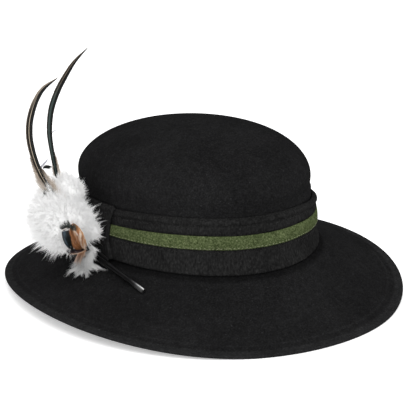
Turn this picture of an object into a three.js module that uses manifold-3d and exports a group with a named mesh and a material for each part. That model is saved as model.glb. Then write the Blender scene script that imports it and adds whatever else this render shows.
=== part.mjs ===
// Tyrolean hat of black wool felt. One felt body makes the round crown and the wide, sloping brim. A folded
// felt band with a green strip goes round the crown, and a felt keeper at the side carries a feather trim.
// Millimetres, +Z up. The hat rests on its brim on z = 0, its front faces -Y, and the wearer's right is -X.
// The origin is the middle of the brim's outline, on the surface that the hat rests on.

import * as THREE from 'three';
import { mergeVertices } from 'three/addons/utils/BufferGeometryUtils.js';
import Module from 'manifold-3d';

const wasm = await Module();
wasm.setup();

const clearance = 0.3;            // gap between pieces that lie on each other
const steps = 56;                 // facets round the hat

// Crown
const feltThickness = 2.4;
const headLength = 197.6;         // inside of the crown, front to back
const headWidth = 164;            // inside of the crown, side to side
const crownHeight = 121.7;        // top of the crown above the surface
const crownBack = 13;             // the crown's centre behind the brim's centre
const crownSquareness = 1.97;     // exponent of the crown's plan, where 2 is an ellipse
const crownEgg = 0.033;           // share by which the crown is narrower in front and wider behind
const crownTilt = THREE.MathUtils.degToRad(0.68);   // the crown leans to the front
const topForward = 7.3;           // the middle of the crown's top lies this far to the front
const topShortening = 0.038;      // share of its length that the crown loses towards its top
const topRoundness = 2.44;        // exponent of the crown's rise, where 2 is an ellipse
const domeTuck = 1.5;             // the dome's foot is drawn in to the tight band by this much all round
const domeTuckBehind = 0.8;       // and by this much more on the band's tight stretch
const domeTuckRise = 15;          // over this height above its foot

// Brim
const brimLength = 322.4;
const brimWidth = 290.6;
const brimSquareness = 2.064;
const brimEgg = 0.03;
const brimSweep = 1.25;           // how much steeper the brim is at the crown than at its rim
const rimFlat = 5;                // the outermost strip of the brim lies level
const sideLift = 8.2;             // the brim's sides stand this far above the surface
const restShare = 0.138;          // share of the outline, front and back, that lies on the surface
const liftEase = 1.3;             // how gently the lift begins
const footHeight = 36;            // where the crown's wall turns into the brim
const footFlare = 3.55;           // how far the wall flares out there

// Hat band
const lowerBandHeight = 17.1;
const greenHeight = 11.4;
const upperBandHeight = 11.4;
const upperBandStand = 3.8;       // how far each part's face stands off the crown's felt
const greenStand = 5.3;
const lowerBandStand = 4.6;
const bandFootStand = 7.35;
const bandTuck = 3.2;             // the band lies this much tighter behind, towards the wearer's left
const tuckTurn = THREE.MathUtils.degToRad(65);      // middle of the tight stretch, from the wearer's left
const tuckFade = [-0.2, 0.15];    // cosines of the angle from its middle between which it sets in
const tuckRise = 2;               // the crown's wall bulges out to its full width this far above the band
const lowerBandThickness = 3;     // two layers of thin felt
const greenThickness = 1.6;
const seamGap = 1;                // dark gap between the upper band's edge and the green strip
const stitchDrop = 5.5;           // the stitched groove below the rolled top edge
const grooveDepth = 0.5;
const rollRadius = 1.3;           // rolled top edge
const edgeShare = 0.35;           // share of the green strip's thickness that its edges are bevelled by

// Keeper
const keeperThickness = 2;
const keeperWaist = 22;           // width at its narrowest
const keeperTopWidth = 31;
const keeperFootWidth = 31;
const keeperWaistShare = 0.8;     // the waist's height on the lower band
const keeperMiddle = 3.5;         // the keeper's middle, along Y
const keeperColumns = 5;

// Feather trim, placed from its tie, where all of its quills meet on the keeper
const tieAlong = 4.8;             // the tie's place along Y
const tieHeight = 43.5;
const bundleRadius = 3.7;         // the tied quills
const plumeRadius = { out: 22, back: 28, up: 23 };
const plumeOffset = { out: 13, back: 8.7, up: 21.8 };   // the plume's centre from the tie
const lockCount = 40;
const lockLength = 11;
const lockRadius = 6;
const lockWaist = { along: 0.6, size: 0.62 };   // a lock's middle section: shares of its length and radius
const lockBend = 0.35;            // how far a lock's tip bends aside, as a share of its length
const lockSpread = 0.4;           // how much the locks differ in size
const rootShare = 0.9;            // locks are rooted at this share of the core's radius
const awayShare = 0.4;            // how much the locks turn away from the tie
const tuftRadius = { out: 7.5, back: 9.5, up: 6.5 };
const tuftOffset = { out: 9, back: -10.5, up: -8.5 };
const tuftLockCount = 9;
const tuftLockLength = 8;
const tuftLockRadius = 3.7;
const sickleWidth = 4.1;
const sickleThickness = 1.1;
const shaftShare = 0.45;          // width of the bare shaft inside the plume, as a share of sickleWidth
const sickleTurn = THREE.MathUtils.degToRad(-70.7);     // direction in plan in which the tips point
// Each sickle feather: its height, its sweep, where its blade leaves the plume, and where its shaft starts
const sickleRight = { height: 99.5, sweep: 32.5, out: 14.5, back: 14.5, up: 46.5, start: [1.5, 3.5, 5] };
const sickleLeft = { height: 84.5, sweep: 20, out: 25, back: 8.5, up: 41.5, start: [5, 3, 3] };
const smallFeatherThickness = 1;
const bladeEdge = 0.15;           // half of a feather's thickness along its edges
const bladeTip = 0.1;             // a blade's pointed ends run on by this much
const smallFeatherStand = 1.06;   // share of the plume's radii at which the small feathers lie
const partingDepths = [0, 4.5, 9];   // the down is parted in front of the small feathers, in steps
const partingWay = new THREE.Vector3(-0.35, -0.9, 0.1);
const quillRadius = 1.5;
const quillSwell = 1.15;          // the long quill is this much thicker at the tie
const quillTaper = 0.7;           // the short quills thin down to this share of quillRadius
const quillSlant = 0.8;           // slant of the cut ends, as a share of the radius
const quillSides = 10;
const quillTipAngle = THREE.MathUtils.degToRad(213.2);  // round the crown, from the wearer's left
const quillTipReach = 20.7;       // out over the brim from the crown's foot
const quillStartOffset = [0, 0.5, -2];    // from the tie: out, back and up
// The short quills beside the long one: the shares of its length that they run between, and [up, out] from it
const shortQuills = [
  { from: 0.02, to: 0.42, start: [3.4, 0.2], end: [3.1, -0.4] },
  { from: 0.02, to: 0.24, start: [-2.6, 3.2], end: [-2.2, 2.6] },
];
// The lower brown feather: points out, back and up from the tie, with its width there
const lowerFeatherRows = [
  { place: [6.5, -7.5, -4.5], width: 3 }, { place: [8, -6.5, -7.5], width: 7 },
  { place: [10, -4.5, -11], width: 6.5 }, { place: [12, -1.5, -14.5], width: 2 },
];

// The sickle feathers' curves: shares of the feather's height and sweep, and of sickleWidth
const sickleRightRows = [
  { rise: 0, sweep: 0, width: 0.55 }, { rise: 0.115, sweep: -0.1, width: 0.7 },
  { rise: 0.22, sweep: -0.2, width: 0.9 }, { rise: 0.33, sweep: -0.27, width: 1 },
  { rise: 0.43, sweep: -0.255, width: 1 }, { rise: 0.54, sweep: -0.17, width: 1 },
  { rise: 0.67, sweep: 0.04, width: 1 }, { rise: 0.8, sweep: 0.35, width: 0.9 },
  { rise: 0.895, sweep: 0.64, width: 0.6 }, { rise: 1, sweep: 1, width: 0.12 },
];
const sickleLeftRows = [
  { rise: 0, sweep: 0, width: 1.9 }, { rise: 0.12, sweep: -0.46, width: 1.6 },
  { rise: 0.25, sweep: -0.77, width: 1.15 }, { rise: 0.4, sweep: -0.975, width: 1.05 },
  { rise: 0.52, sweep: -0.99, width: 1 }, { rise: 0.637, sweep: -0.855, width: 0.95 },
  { rise: 0.777, sweep: -0.465, width: 0.75 }, { rise: 0.892, sweep: 0, width: 0.5 },
  { rise: 1, sweep: 0.6, width: 0.12 },
];

const greenBottom = footHeight + lowerBandHeight;
const greenTop = greenBottom + greenHeight;
const bandTop = greenTop + upperBandHeight;
const domeBase = bandTop + tuckRise;
const crownHalfLength = headLength / 2 + feltThickness;
const crownHalfWidth = headWidth / 2 + feltThickness;

function signedPower(value, exponent) {
  return Math.sign(value) * Math.abs(value) ** exponent;
}

// A point of a flat oval: a superellipse that is narrower in front and wider behind
function ovalPoint(angle, halfWidth, halfLength, squareness, egg) {
  const x = halfWidth * signedPower(Math.cos(angle), 2 / squareness);
  const y = halfLength * signedPower(Math.sin(angle), 2 / squareness);
  return { x: x * (1 + egg * y / halfLength), y };
}

// The crown is built upright and then leans by crownTilt about its own centre
function leanCrown(x, y, height) {
  const sine = Math.sin(crownTilt);
  const cosine = Math.cos(crownTilt);
  return new THREE.Vector3(x, y * cosine - height * sine + crownBack, y * sine + height * cosine);
}

// From 0 to 1: how far an angle round the crown lies in the band's tight stretch
function tightAt(angle) {
  return THREE.MathUtils.smoothstep(Math.cos(angle - tuckTurn), ...tuckFade);
}

// A point round the crown, at a distance off the outside of its straight wall and at a height
function crownPoint(angle, stand, height) {
  const off = stand - bandTuck * tightAt(angle);
  const plan = ovalPoint(angle, crownHalfWidth + off, crownHalfLength + off, crownSquareness, crownEgg);
  return leanCrown(plan.x, plan.y, height);
}

// A point of the crown's dome: climb goes from 0 at the band's top edge to a quarter turn at the middle. The
// dome's foot is drawn in to the band by the square of what is left of domeTuckRise.
function domePoint(angle, climb, inset) {
  const rise = Math.sin(climb) ** (2 / topRoundness);
  const reach = Math.cos(climb);
  const halfWidth = Math.max((crownHalfWidth - inset) * reach, 0.001);
  const halfLength = Math.max((crownHalfLength - inset) * reach * (1 - topShortening * rise), 0.001);
  const plan = ovalPoint(angle, halfWidth, halfLength, crownSquareness, crownEgg * reach);
  const height = domeBase + (crownHeight - inset - domeBase) * rise;
  const above = Math.min((height - domeBase) / domeTuckRise, 1);
  const drawnIn = (1 - above) ** 2 * (domeTuck + domeTuckBehind * tightAt(angle));
  const kept = 1 - drawnIn / crownHalfWidth;
  return leanCrown(plan.x * kept, (plan.y - topForward * rise) * kept, height);
}

// The top corner of the brim's rim: level in front and behind, and lifted at the sides
function rimPoint(angle) {
  const plan = ovalPoint(angle, brimWidth / 2, brimLength / 2, brimSquareness, brimEgg);
  const side = Math.max(0, Math.cos(angle) ** 2 - restShare) / (1 - restShare);
  return new THREE.Vector3(plan.x, plan.y, sideLift * side ** liftEase + feltThickness);
}

function brimSpan(angle) {
  const foot = crownPoint(angle, footFlare, footHeight);
  const rim = rimPoint(angle);
  return { foot, rim, length: Math.hypot(rim.x - foot.x, rim.y - foot.y) };
}

// The brim's upper face, from share 0 at the crown's foot to 1 at the rim
function brimPoint(angle, share) {
  const { foot, rim, length } = brimSpan(angle);
  const slopeEnd = 1 - rimFlat / length;
  const drop = Math.max(0, 1 - share / slopeEnd) ** brimSweep;
  const point = foot.clone().lerp(rim, share);
  point.z = rim.z + (foot.z - rim.z) * drop;
  return point;
}

// The same face at a distance off the crown's wall, raised by a gap
function onBrim(angle, stand, gap) {
  const point = brimPoint(angle, (stand - footFlare) / brimSpan(angle).length);
  point.z += gap;
  return point;
}

// The brim's lower face: the felt's thickness is measured square to the slope
function brimUnderside(angle, share) {
  const { foot, rim, length } = brimSpan(angle);
  const slopeEnd = 1 - rimFlat / length;
  const left = Math.max(0, 1 - share / slopeEnd);
  const slope = left > 0 ? (foot.z - rim.z) * brimSweep * left ** (brimSweep - 1) / slopeEnd / length : 0;
  const point = brimPoint(angle, share);
  point.z -= feltThickness * Math.hypot(1, slope);
  return point;
}

function ring(pointAt) {
  const points = [];
  for (let i = 0; i < steps; i += 1) points.push(pointAt(2 * Math.PI * i / steps));
  return points;
}

// A body through rings of equal length: closed by a point at each end, or round on itself where none is given
function loft(rings, startPoint, endPoint) {
  const sides = rings[0].length;
  const points = rings.flat();
  const faces = [];
  const stitch = (low, high) => {
    for (let i = 0; i < sides; i += 1) {
      const j = (i + 1) % sides;
      faces.push([low * sides + i, low * sides + j, high * sides + j]);
      faces.push([low * sides + i, high * sides + j, high * sides + i]);
    }
  };
  for (let row = 0; row + 1 < rings.length; row += 1) stitch(row, row + 1);
  if (!startPoint) stitch(rings.length - 1, 0);
  if (startPoint) {
    const first = points.push(startPoint) - 1;
    const last = points.push(endPoint) - 1;
    const base = (rings.length - 1) * sides;
    for (let i = 0; i < sides; i += 1) {
      const j = (i + 1) % sides;
      faces.push([first, j, i]);
      faces.push([last, base + i, base + j]);
    }
  }
  return bodyGeometry(points, faces);
}

// A sheet with thickness: two grids of points, joined round their border
function slab(front, back) {
  const rows = front.length;
  const columns = front[0].length;
  const points = [...front.flat(), ...back.flat()];
  const half = rows * columns;
  const faces = [];
  for (let r = 0; r + 1 < rows; r += 1) {
    for (let c = 0; c + 1 < columns; c += 1) {
      const a = r * columns + c;
      const b = a + columns;
      faces.push([a, a + 1, b + 1], [a, b + 1, b]);
      faces.push([half + a, half + b + 1, half + a + 1], [half + a, half + b, half + b + 1]);
    }
  }
  const border = [];
  for (let c = 0; c < columns; c += 1) border.push(c);
  for (let r = 1; r < rows; r += 1) border.push(r * columns + columns - 1);
  for (let c = columns - 2; c >= 0; c -= 1) border.push((rows - 1) * columns + c);
  for (let r = rows - 2; r > 0; r -= 1) border.push(r * columns);
  border.forEach((a, k) => {
    const b = border[(k + 1) % border.length];
    faces.push([b, a, half + a], [b, half + a, half + b]);
  });
  return bodyGeometry(points, faces);
}

// A geometry with its faces pointing out, whatever way round they were listed
function bodyGeometry(points, faces) {
  let volume = 0;
  for (const [a, b, c] of faces) volume += points[a].dot(points[b].clone().cross(points[c]));
  const index = faces.flatMap(([a, b, c]) => (volume < 0 ? [a, c, b] : [a, b, c]));
  const geometry = new THREE.BufferGeometry();
  const positions = points.flatMap((point) => [point.x, point.y, point.z]);
  geometry.setAttribute('position', new THREE.Float32BufferAttribute(positions, 3));
  geometry.setIndex(index);
  return geometry;
}

function toManifold(geometry) {
  const merged = mergeVertices(geometry, 0.0001);
  const vertProperties = new Float32Array(merged.attributes.position.array);
  const triVerts = new Uint32Array(merged.index.array);
  return new wasm.Manifold(new wasm.Mesh({ numProp: 3, vertProperties, triVerts }));
}

function toGeometry(manifold) {
  const mesh = manifold.getMesh();
  const geometry = new THREE.BufferGeometry();
  geometry.setAttribute('position', new THREE.BufferAttribute(new Float32Array(mesh.vertProperties), 3));
  geometry.setIndex(new THREE.BufferAttribute(new Uint32Array(mesh.triVerts), 1));
  return geometry;
}

// The crown and brim: the outer face from the top down to the rim, then the inner face back to the top
function feltBody() {
  const climbs = [80, 68, 56, 44, 33, 22, 11, 0].map(THREE.MathUtils.degToRad);
  const wallShares = [0.66, 0.3, 0.12];
  const brimShares = [0, 0.1, 0.25, 0.42, 0.6, 0.78];
  const flareAt = (share) => footFlare * (1 - share) ** 2;
  const wallHeight = (share) => footHeight + lowerBandHeight * share;
  const rimShare = (angle) => 1 - rimFlat / brimSpan(angle).length;
  const outer = [
    ...climbs.map((climb) => ring((angle) => domePoint(angle, climb, 0))),
    ring((angle) => crownPoint(angle, 0, bandTop)),
    ring((angle) => crownPoint(angle, 0, greenBottom)),
    ...wallShares.map((share) => ring((angle) => crownPoint(angle, flareAt(share), wallHeight(share)))),
    ...brimShares.map((share) => ring((angle) => brimPoint(angle, share))),
    ring((angle) => brimPoint(angle, rimShare(angle))),
    ring((angle) => brimPoint(angle, 1)),
  ];
  const innerCorner = (angle) => crownPoint(angle, footFlare - feltThickness, footHeight - feltThickness / 2);
  const inner = [
    ring((angle) => brimUnderside(angle, 1)),
    ring((angle) => brimUnderside(angle, rimShare(angle))),
    ...brimShares.slice(1).reverse().map((share) => ring((angle) => brimUnderside(angle, share))),
    ring(innerCorner),
    ...wallShares.slice(0, 2).reverse().map((share) => ring(
      (angle) => crownPoint(angle, flareAt(share) - feltThickness, wallHeight(share)))),
    ring((angle) => crownPoint(angle, -feltThickness, greenBottom)),
    ring((angle) => crownPoint(angle, -feltThickness, bandTop)),
    ...climbs.slice().reverse().map((climb) => ring((angle) => domePoint(angle, climb, feltThickness))),
  ];
  const top = domePoint(0, Math.PI / 2, 0);
  const innerTop = domePoint(0, Math.PI / 2, feltThickness);
  return loft([...outer, ...inner], top, innerTop);
}

// Each part of the band is a closed section carried round the crown
const at = (stand, height) => ring((angle) => crownPoint(angle, stand, height));
const tongueStand = greenStand - greenThickness - clearance;
const seamMiddle = (greenBottom + greenTop) / 2;

function lowerFace(share) {
  return lowerBandStand + (bandFootStand - lowerBandStand) * (1 - share) ** 2;
}

function lowerBand() {
  const shares = [0.25, 0.55, 0.92];
  const innerStand = (share) => {
    const behindFelt = footFlare * (1 - share) ** 2 + clearance;
    return Math.max(behindFelt, lowerFace(share) - lowerBandThickness);
  };
  return loft([
    ring((angle) => onBrim(angle, bandFootStand, clearance)),
    ...shares.map((share) => at(lowerFace(share), footHeight + lowerBandHeight * share)),
    at(tongueStand, greenBottom),
    at(tongueStand, seamMiddle - clearance),
    at(clearance, seamMiddle - clearance),
    ...shares.slice().reverse().map((share) => at(innerStand(share), footHeight + lowerBandHeight * share)),
    ring((angle) => onBrim(angle, bandFootStand - lowerBandThickness, 2 * clearance)),
  ]);
}

function greenStrip() {
  const inside = greenStand - greenThickness;
  const edge = greenThickness * edgeShare;
  return loft([
    at(inside, greenBottom), at(greenStand - edge, greenBottom), at(greenStand, greenBottom + edge),
    at(greenStand, greenTop - edge), at(greenStand - edge, greenTop), at(inside, greenTop),
  ]);
}

function upperBand() {
  const groove = bandTop - stitchDrop;
  return loft([
    at(tongueStand, seamMiddle + clearance), at(tongueStand, greenTop + seamGap / 2),
    at(upperBandStand, greenTop + seamGap),
    at(upperBandStand, groove - 2 * grooveDepth), at(upperBandStand - grooveDepth, groove),
    at(upperBandStand, groove + 2 * grooveDepth),
    at(upperBandStand, bandTop - rollRadius), at(upperBandStand - rollRadius, bandTop),
    at(clearance + rollRadius / 2, bandTop), at(clearance, bandTop - rollRadius),
    at(clearance, seamMiddle + clearance),
  ]);
}

// The angle round the crown, on the wearer's right, at a place along Y
function sideAngle(y) {
  const share = THREE.MathUtils.clamp((y - crownBack) / crownHalfLength, -1, 1);
  return Math.PI - Math.asin(signedPower(share, crownSquareness / 2));
}

// How far the keeper's back stands off the crown at a height on the band
function keeperStand(height) {
  const share = (height - footHeight) / lowerBandHeight;
  if (share < 1) return Math.max(lowerFace(Math.max(share, 0)), greenStand) + clearance;
  const above = Math.max(0, height - greenTop - 1) / (upperBandHeight - 1);
  return greenStand + (upperBandStand - greenStand) * Math.min(above * 2, 1) + clearance;
}

// The keeper's width: pinched at its waist
function keeperWidth(height) {
  const waist = footHeight + lowerBandHeight * keeperWaistShare;
  const toTop = (height - waist) / (bandTop - waist);
  const toFoot = (waist - height) / (waist - footHeight);
  if (toTop > 0) return keeperWaist + (keeperTopWidth - keeperWaist) * toTop ** 1.5;
  return keeperWaist + (keeperFootWidth - keeperWaist) * Math.min(toFoot, 1) ** 1.5;
}

// The felt keeper follows the band's face and folds over its top edge
function keeper() {
  const heights = [0.06, 0.25, 0.55, 1].map((share) => footHeight + lowerBandHeight * share);
  heights.push(...[0, 0.35, 0.6].map((share) => greenTop + upperBandHeight * share), bandTop - rollRadius);
  const top = bandTop + clearance;
  const path = heights.map((height) => [keeperStand(height), height]);
  path.push([upperBandStand - rollRadius / 2, top], [clearance, top]);
  const tilt = heights.map(() => 0);
  tilt.push(0.5, 1);
  const row = (index, outward) => {
    const [stand, height] = path[index];
    const lean = tilt[index] * Math.PI / 2;
    const level = Math.min(height, bandTop);
    const points = [];
    for (let c = 0; c <= keeperColumns; c += 1) {
      const y = keeperMiddle + keeperWidth(level) * (c / keeperColumns - 0.5);
      const off = outward * keeperThickness;
      points.push(crownPoint(sideAngle(y), stand + off * Math.cos(lean), height + off * Math.sin(lean)));
    }
    return points;
  };
  return slab(path.map((_, index) => row(index, 1)), path.map((_, index) => row(index, 0)));
}

// The trim's own axes: out from the hat's side, back and up, from the tie
const tieStand = keeperStand(tieHeight) + keeperThickness + clearance + bundleRadius;
const tie = crownPoint(sideAngle(tieAlong), tieStand, tieHeight);
const fromTie = (out, back, up) => new THREE.Vector3(tie.x - out, tie.y + back, tie.z + up);

// A flat blade along a path: widths and thicknesses go with the points, and side is square to its curve
function blade(points, widths, thicknesses, side, extra = 0) {
  const rings = points.map((point, i) => {
    const before = points[Math.max(i - 1, 0)];
    const after = points[Math.min(i + 1, points.length - 1)];
    const tangent = after.clone().sub(before).normalize();
    const facing = side.isVector3 ? side : side[i];
    const across = facing.clone().cross(tangent).normalize();
    const up = tangent.clone().cross(across).normalize();
    const halfWidth = widths[i] / 2 + extra;
    const halfThickness = thicknesses[i] / 2 + extra;
    const edge = Math.min(halfThickness, bladeEdge + extra);
    return [[1, edge], [0, halfThickness], [-1, edge], [-1, -edge], [0, -halfThickness], [1, -edge]]
      .map(([w, t]) => point.clone().addScaledVector(across, w * halfWidth).addScaledVector(up, t));
  });
  const grow = (from, to) => from.clone().addScaledVector(from.clone().sub(to).normalize(), bladeTip + extra);
  const last = points.length - 1;
  return loft(rings, grow(points[0], points[1]), grow(points[last], points[last - 1]));
}

// A sickle feather: its shaft climbs through the plume, then the blade curves in one upright plane
function sickleFeather(place, rows, extra = 0) {
  const forward = new THREE.Vector3(Math.cos(sickleTurn), Math.sin(sickleTurn), 0);
  const base = fromTie(place.out, place.back, place.up);
  const start = fromTie(...place.start);
  const middle = start.clone().lerp(base, 0.5).addScaledVector(forward, 1);
  const shaftWidth = sickleWidth * shaftShare;
  const bends = rows.map(({ rise, sweep }) => {
    const point = base.clone().addScaledVector(forward, sweep * place.sweep);
    return point.setZ(point.z + rise * place.height);
  });
  const curve = new THREE.CatmullRomCurve3(bends);
  const points = [start, middle];
  const widths = [shaftWidth, shaftWidth];
  const count = 2 * (rows.length - 1);
  for (let i = 0; i <= count; i += 1) {
    const low = rows[Math.floor(i / 2)];
    const high = rows[Math.ceil(i / 2)];
    points.push(curve.getPoint(i / count));
    widths.push(sickleWidth * (low.width + high.width) / 2);
  }
  const thicknesses = widths.map((width) => Math.min(sickleThickness, 0.3 + width * 0.5));
  return blade(points, widths, thicknesses, forward.clone().cross(new THREE.Vector3(0, 0, 1)), extra);
}

// Down: locks fused to a core. Each lock leaves it between its own normal and the way away from the tie.
let randomState = 7;
function random() {
  randomState = (randomState * 1664525 + 1013904223) % 4294967296;
  return randomState / 4294967296;
}

function lockGeometry(root, direction, length, radius) {
  const side = new THREE.Vector3(0, 0, 1).cross(direction).normalize();
  const up = direction.clone().cross(side).normalize();
  const bend = side.clone().multiplyScalar((random() - 0.5) * length * lockBend);
  const section = (share, size) => [0, 1, 2, 3].map((k) => {
    const turn = Math.PI * k / 2;
    return root.clone().addScaledVector(direction, share * length).addScaledVector(bend, share * share)
      .addScaledVector(side, Math.cos(turn) * size).addScaledVector(up, Math.sin(turn) * size);
  });
  const tip = root.clone().addScaledVector(direction, length).add(bend);
  return loft([section(0, radius), section(lockWaist.along, radius * lockWaist.size)], root.clone(), tip);
}

function downCore(centre, radius, across, around) {
  const sphere = new THREE.SphereGeometry(1, across, around);
  sphere.rotateX(Math.PI / 2);
  sphere.scale(radius.out, radius.back, radius.up);
  sphere.translate(centre.x, centre.y, centre.z);
  sphere.deleteAttribute('normal');
  sphere.deleteAttribute('uv');
  return toManifold(sphere);
}

function down(centre, radius, count, length, size, detail) {
  const parts = [downCore(centre, radius, detail, Math.round(detail * 0.7))];
  const goldenAngle = Math.PI * (3 - Math.sqrt(5));
  for (let i = 0; i < count; i += 1) {
    const height = 1 - 2 * (i + 0.5) / count;
    const reach = Math.sqrt(1 - height * height);
    const turn = goldenAngle * i;
    const normal = new THREE.Vector3(reach * Math.cos(turn), reach * Math.sin(turn), height);
    const root = centre.clone().add(new THREE.Vector3(radius.out, radius.back, radius.up).multiply(normal)
      .multiplyScalar(rootShare));
    const away = root.clone().sub(tie).normalize();
    const direction = normal.clone().lerp(away, awayShare).normalize();
    const scale = 1 + lockSpread * (random() - 0.5);
    parts.push(toManifold(lockGeometry(root, direction, length * scale, size * scale)));
  }
  return wasm.Manifold.union(parts);
}

// The space that the felt, band and keeper take, with clearance all round, which no down reaches into
function hatEnvelope() {
  const gap = clearance + 0.05;
  const outside = (height) => keeperStand(height) + keeperThickness + gap;
  const bandHeights = [0.3, 0.6, 1].map((share) => footHeight + lowerBandHeight * share);
  const brimShares = [0.84, 0.6, 0.4];
  const climbs = [24, 34, 46, 60, 75].map(THREE.MathUtils.degToRad);
  const onTop = bandTop + clearance + keeperThickness + gap;
  const rings = [
    ring((angle) => rimPoint(angle).setZ(-feltThickness)),
    ring((angle) => brimPoint(angle, 1).add(new THREE.Vector3(0, 0, gap))),
    ...brimShares.map((share) => ring((angle) => brimPoint(angle, share).add(new THREE.Vector3(0, 0, gap)))),
    ring((angle) => onBrim(angle, outside(footHeight), gap)),
    ...bandHeights.map((height) => at(outside(height), height)),
    at(outside(greenTop), greenTop), at(outside(bandTop), bandTop),
    at(outside(bandTop), onTop),
    at(gap, onTop + gap / 2),
    ...climbs.map((climb) => ring((angle) => domePoint(angle, climb, -gap))),
  ];
  return toManifold(loft(rings, new THREE.Vector3(0, 0, -feltThickness), domePoint(0, Math.PI / 2, -gap)));
}

function largestPiece(manifold) {
  const pieces = manifold.decompose();
  return pieces.reduce((best, piece) => (piece.volume() > best.volume() ? piece : best));
}

// A small feather that lies on the plume, along directions given as shares of the plume's radii
function plumeBlade({ directions, widths }, extra = 0) {
  const centre = fromTie(plumeOffset.out, plumeOffset.back, plumeOffset.up);
  const radii = new THREE.Vector3(plumeRadius.out, plumeRadius.back, plumeRadius.up);
  const curve = new THREE.CatmullRomCurve3(directions.map(([x, y, z]) => new THREE.Vector3(x, y, z)));
  const count = 8;
  const normals = curve.getPoints(count).map((point) => point.normalize());
  const onPlume = (normal) => radii.clone().multiply(normal).multiplyScalar(smallFeatherStand);
  const points = normals.map((normal) => centre.clone().add(onPlume(normal)));
  const breadth = (share) => {
    const place = share * (widths.length - 1);
    const index = Math.min(Math.floor(place), widths.length - 2);
    return widths[index] + (widths[index + 1] - widths[index]) * (place - index);
  };
  const widthList = points.map((_, i) => breadth(i / count));
  const thicknesses = points.map(() => smallFeatherThickness);
  return blade(points, widthList, thicknesses, normals, extra);
}

const brownFeather = {
  directions: [[0.3, -0.6, -0.74], [-0.02, -0.9, -0.44], [-0.22, -0.95, -0.1], [-0.42, -0.88, 0.12]],
  widths: [2.4, 7, 9.5, 7.5, 2],
};
const blueBlackFeather = {
  directions: [[-0.2, -0.68, -0.7], [-0.46, -0.82, -0.4], [-0.62, -0.78, -0.02]],
  widths: [3, 7.5, 7.5, 2.5],
};

// The lower brown feather hangs from the tie beside the small tuft
function lowerBrownFeather(extra = 0) {
  const points = lowerFeatherRows.map(({ place }) => fromTie(...place));
  const widths = lowerFeatherRows.map(({ width }) => width);
  const thicknesses = lowerFeatherRows.map(() => smallFeatherThickness);
  return blade(points, widths, thicknesses, new THREE.Vector3(-0.6, -0.7, 0.4).normalize(), extra);
}

// A quill: a round rod from the tied bundle, cut off slanting at its end, and grown by extra all round
function quill(from, to, startRadius, endRadius, extra = 0) {
  const tangent = to.clone().sub(from).normalize();
  const start = from.clone().addScaledVector(tangent, -extra);
  const end = to.clone().addScaledVector(tangent, extra);
  const side = new THREE.Vector3(0, 0, 1).cross(tangent).normalize();
  const up = tangent.clone().cross(side).normalize();
  const section = (share, radius) => {
    const points = [];
    for (let k = 0; k < quillSides; k += 1) {
      const turn = 2 * Math.PI * k / quillSides;
      const slant = share === 1 ? Math.sin(turn) * radius * quillSlant : 0;
      points.push(start.clone().lerp(end, share).addScaledVector(tangent, slant)
        .addScaledVector(side, Math.cos(turn) * radius).addScaledVector(up, Math.sin(turn) * radius));
    }
    return points;
  };
  const radiusAt = (share) => startRadius + (endRadius - startRadius) * share + extra;
  const rings = [0, 0.5, 1].map((share) => section(share, radiusAt(share)));
  return loft(rings, start.clone(), end.clone());
}

const quillTip = onBrim(quillTipAngle, footFlare + quillTipReach, quillRadius + 2 * clearance);
const quillStart = fromTie(...quillStartOffset);
const quillLine = quillTip.clone().sub(quillStart);
const alongQuill = (share, [up, out]) => {
  const point = quillStart.clone().addScaledVector(quillLine, share);
  return new THREE.Vector3(point.x - out, point.y, point.z + up);
};
const longQuill = (extra) => quill(quillStart, quillTip, quillRadius * quillSwell, quillRadius, extra);
const shortQuill = ({ from, to, start, end }, extra) => quill(
  alongQuill(from, start), alongQuill(to, end), quillRadius, quillRadius * quillTaper, extra);

const plumeCentre = fromTie(plumeOffset.out, plumeOffset.back, plumeOffset.up);
const tuftCentre = fromTie(tuftOffset.out, tuftOffset.back, tuftOffset.up);
const envelope = hatEnvelope();
const quillsGrown = (extra) => [longQuill(extra), ...shortQuills.map((row) => shortQuill(row, extra))];
const partingShifts = partingDepths.map((depth) => partingWay.clone().multiplyScalar(depth));
const parting = (geometry) => partingShifts.map(({ x, y, z }) => geometry.clone().translate(x, y, z));
const cutters = [
  sickleFeather(sickleRight, sickleRightRows, clearance),
  sickleFeather(sickleLeft, sickleLeftRows, clearance),
  ...[brownFeather, blueBlackFeather].flatMap((feather) => parting(plumeBlade(feather, clearance))),
  ...parting(lowerBrownFeather(clearance)),
  ...quillsGrown(clearance),
].map(toManifold);
const cutAway = wasm.Manifold.union([envelope, ...cutters]);
const plumeDown = down(plumeCentre, plumeRadius, lockCount, lockLength, lockRadius, 12);
const plumeBody = largestPiece(plumeDown.subtract(cutAway));
const tuftBody = down(tuftCentre, tuftRadius, tuftLockCount, tuftLockLength, tuftLockRadius, 7);
const towardsTuft = tuftCentre.clone().sub(plumeCentre).setLength(clearance + 0.05);
const plumeShifted = plumeBody.translate(towardsTuft.x, towardsTuft.y, towardsTuft.z);
const tuft = largestPiece(tuftBody.subtract(wasm.Manifold.union([cutAway, plumeBody, plumeShifted])));

const hat = new THREE.Group();

function add(name, geometry, color, roughness, metalness = 0) {
  const mesh = new THREE.Mesh(geometry, new THREE.MeshStandardMaterial({ color, roughness, metalness }));
  mesh.name = name;
  hat.add(mesh);
}

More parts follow.
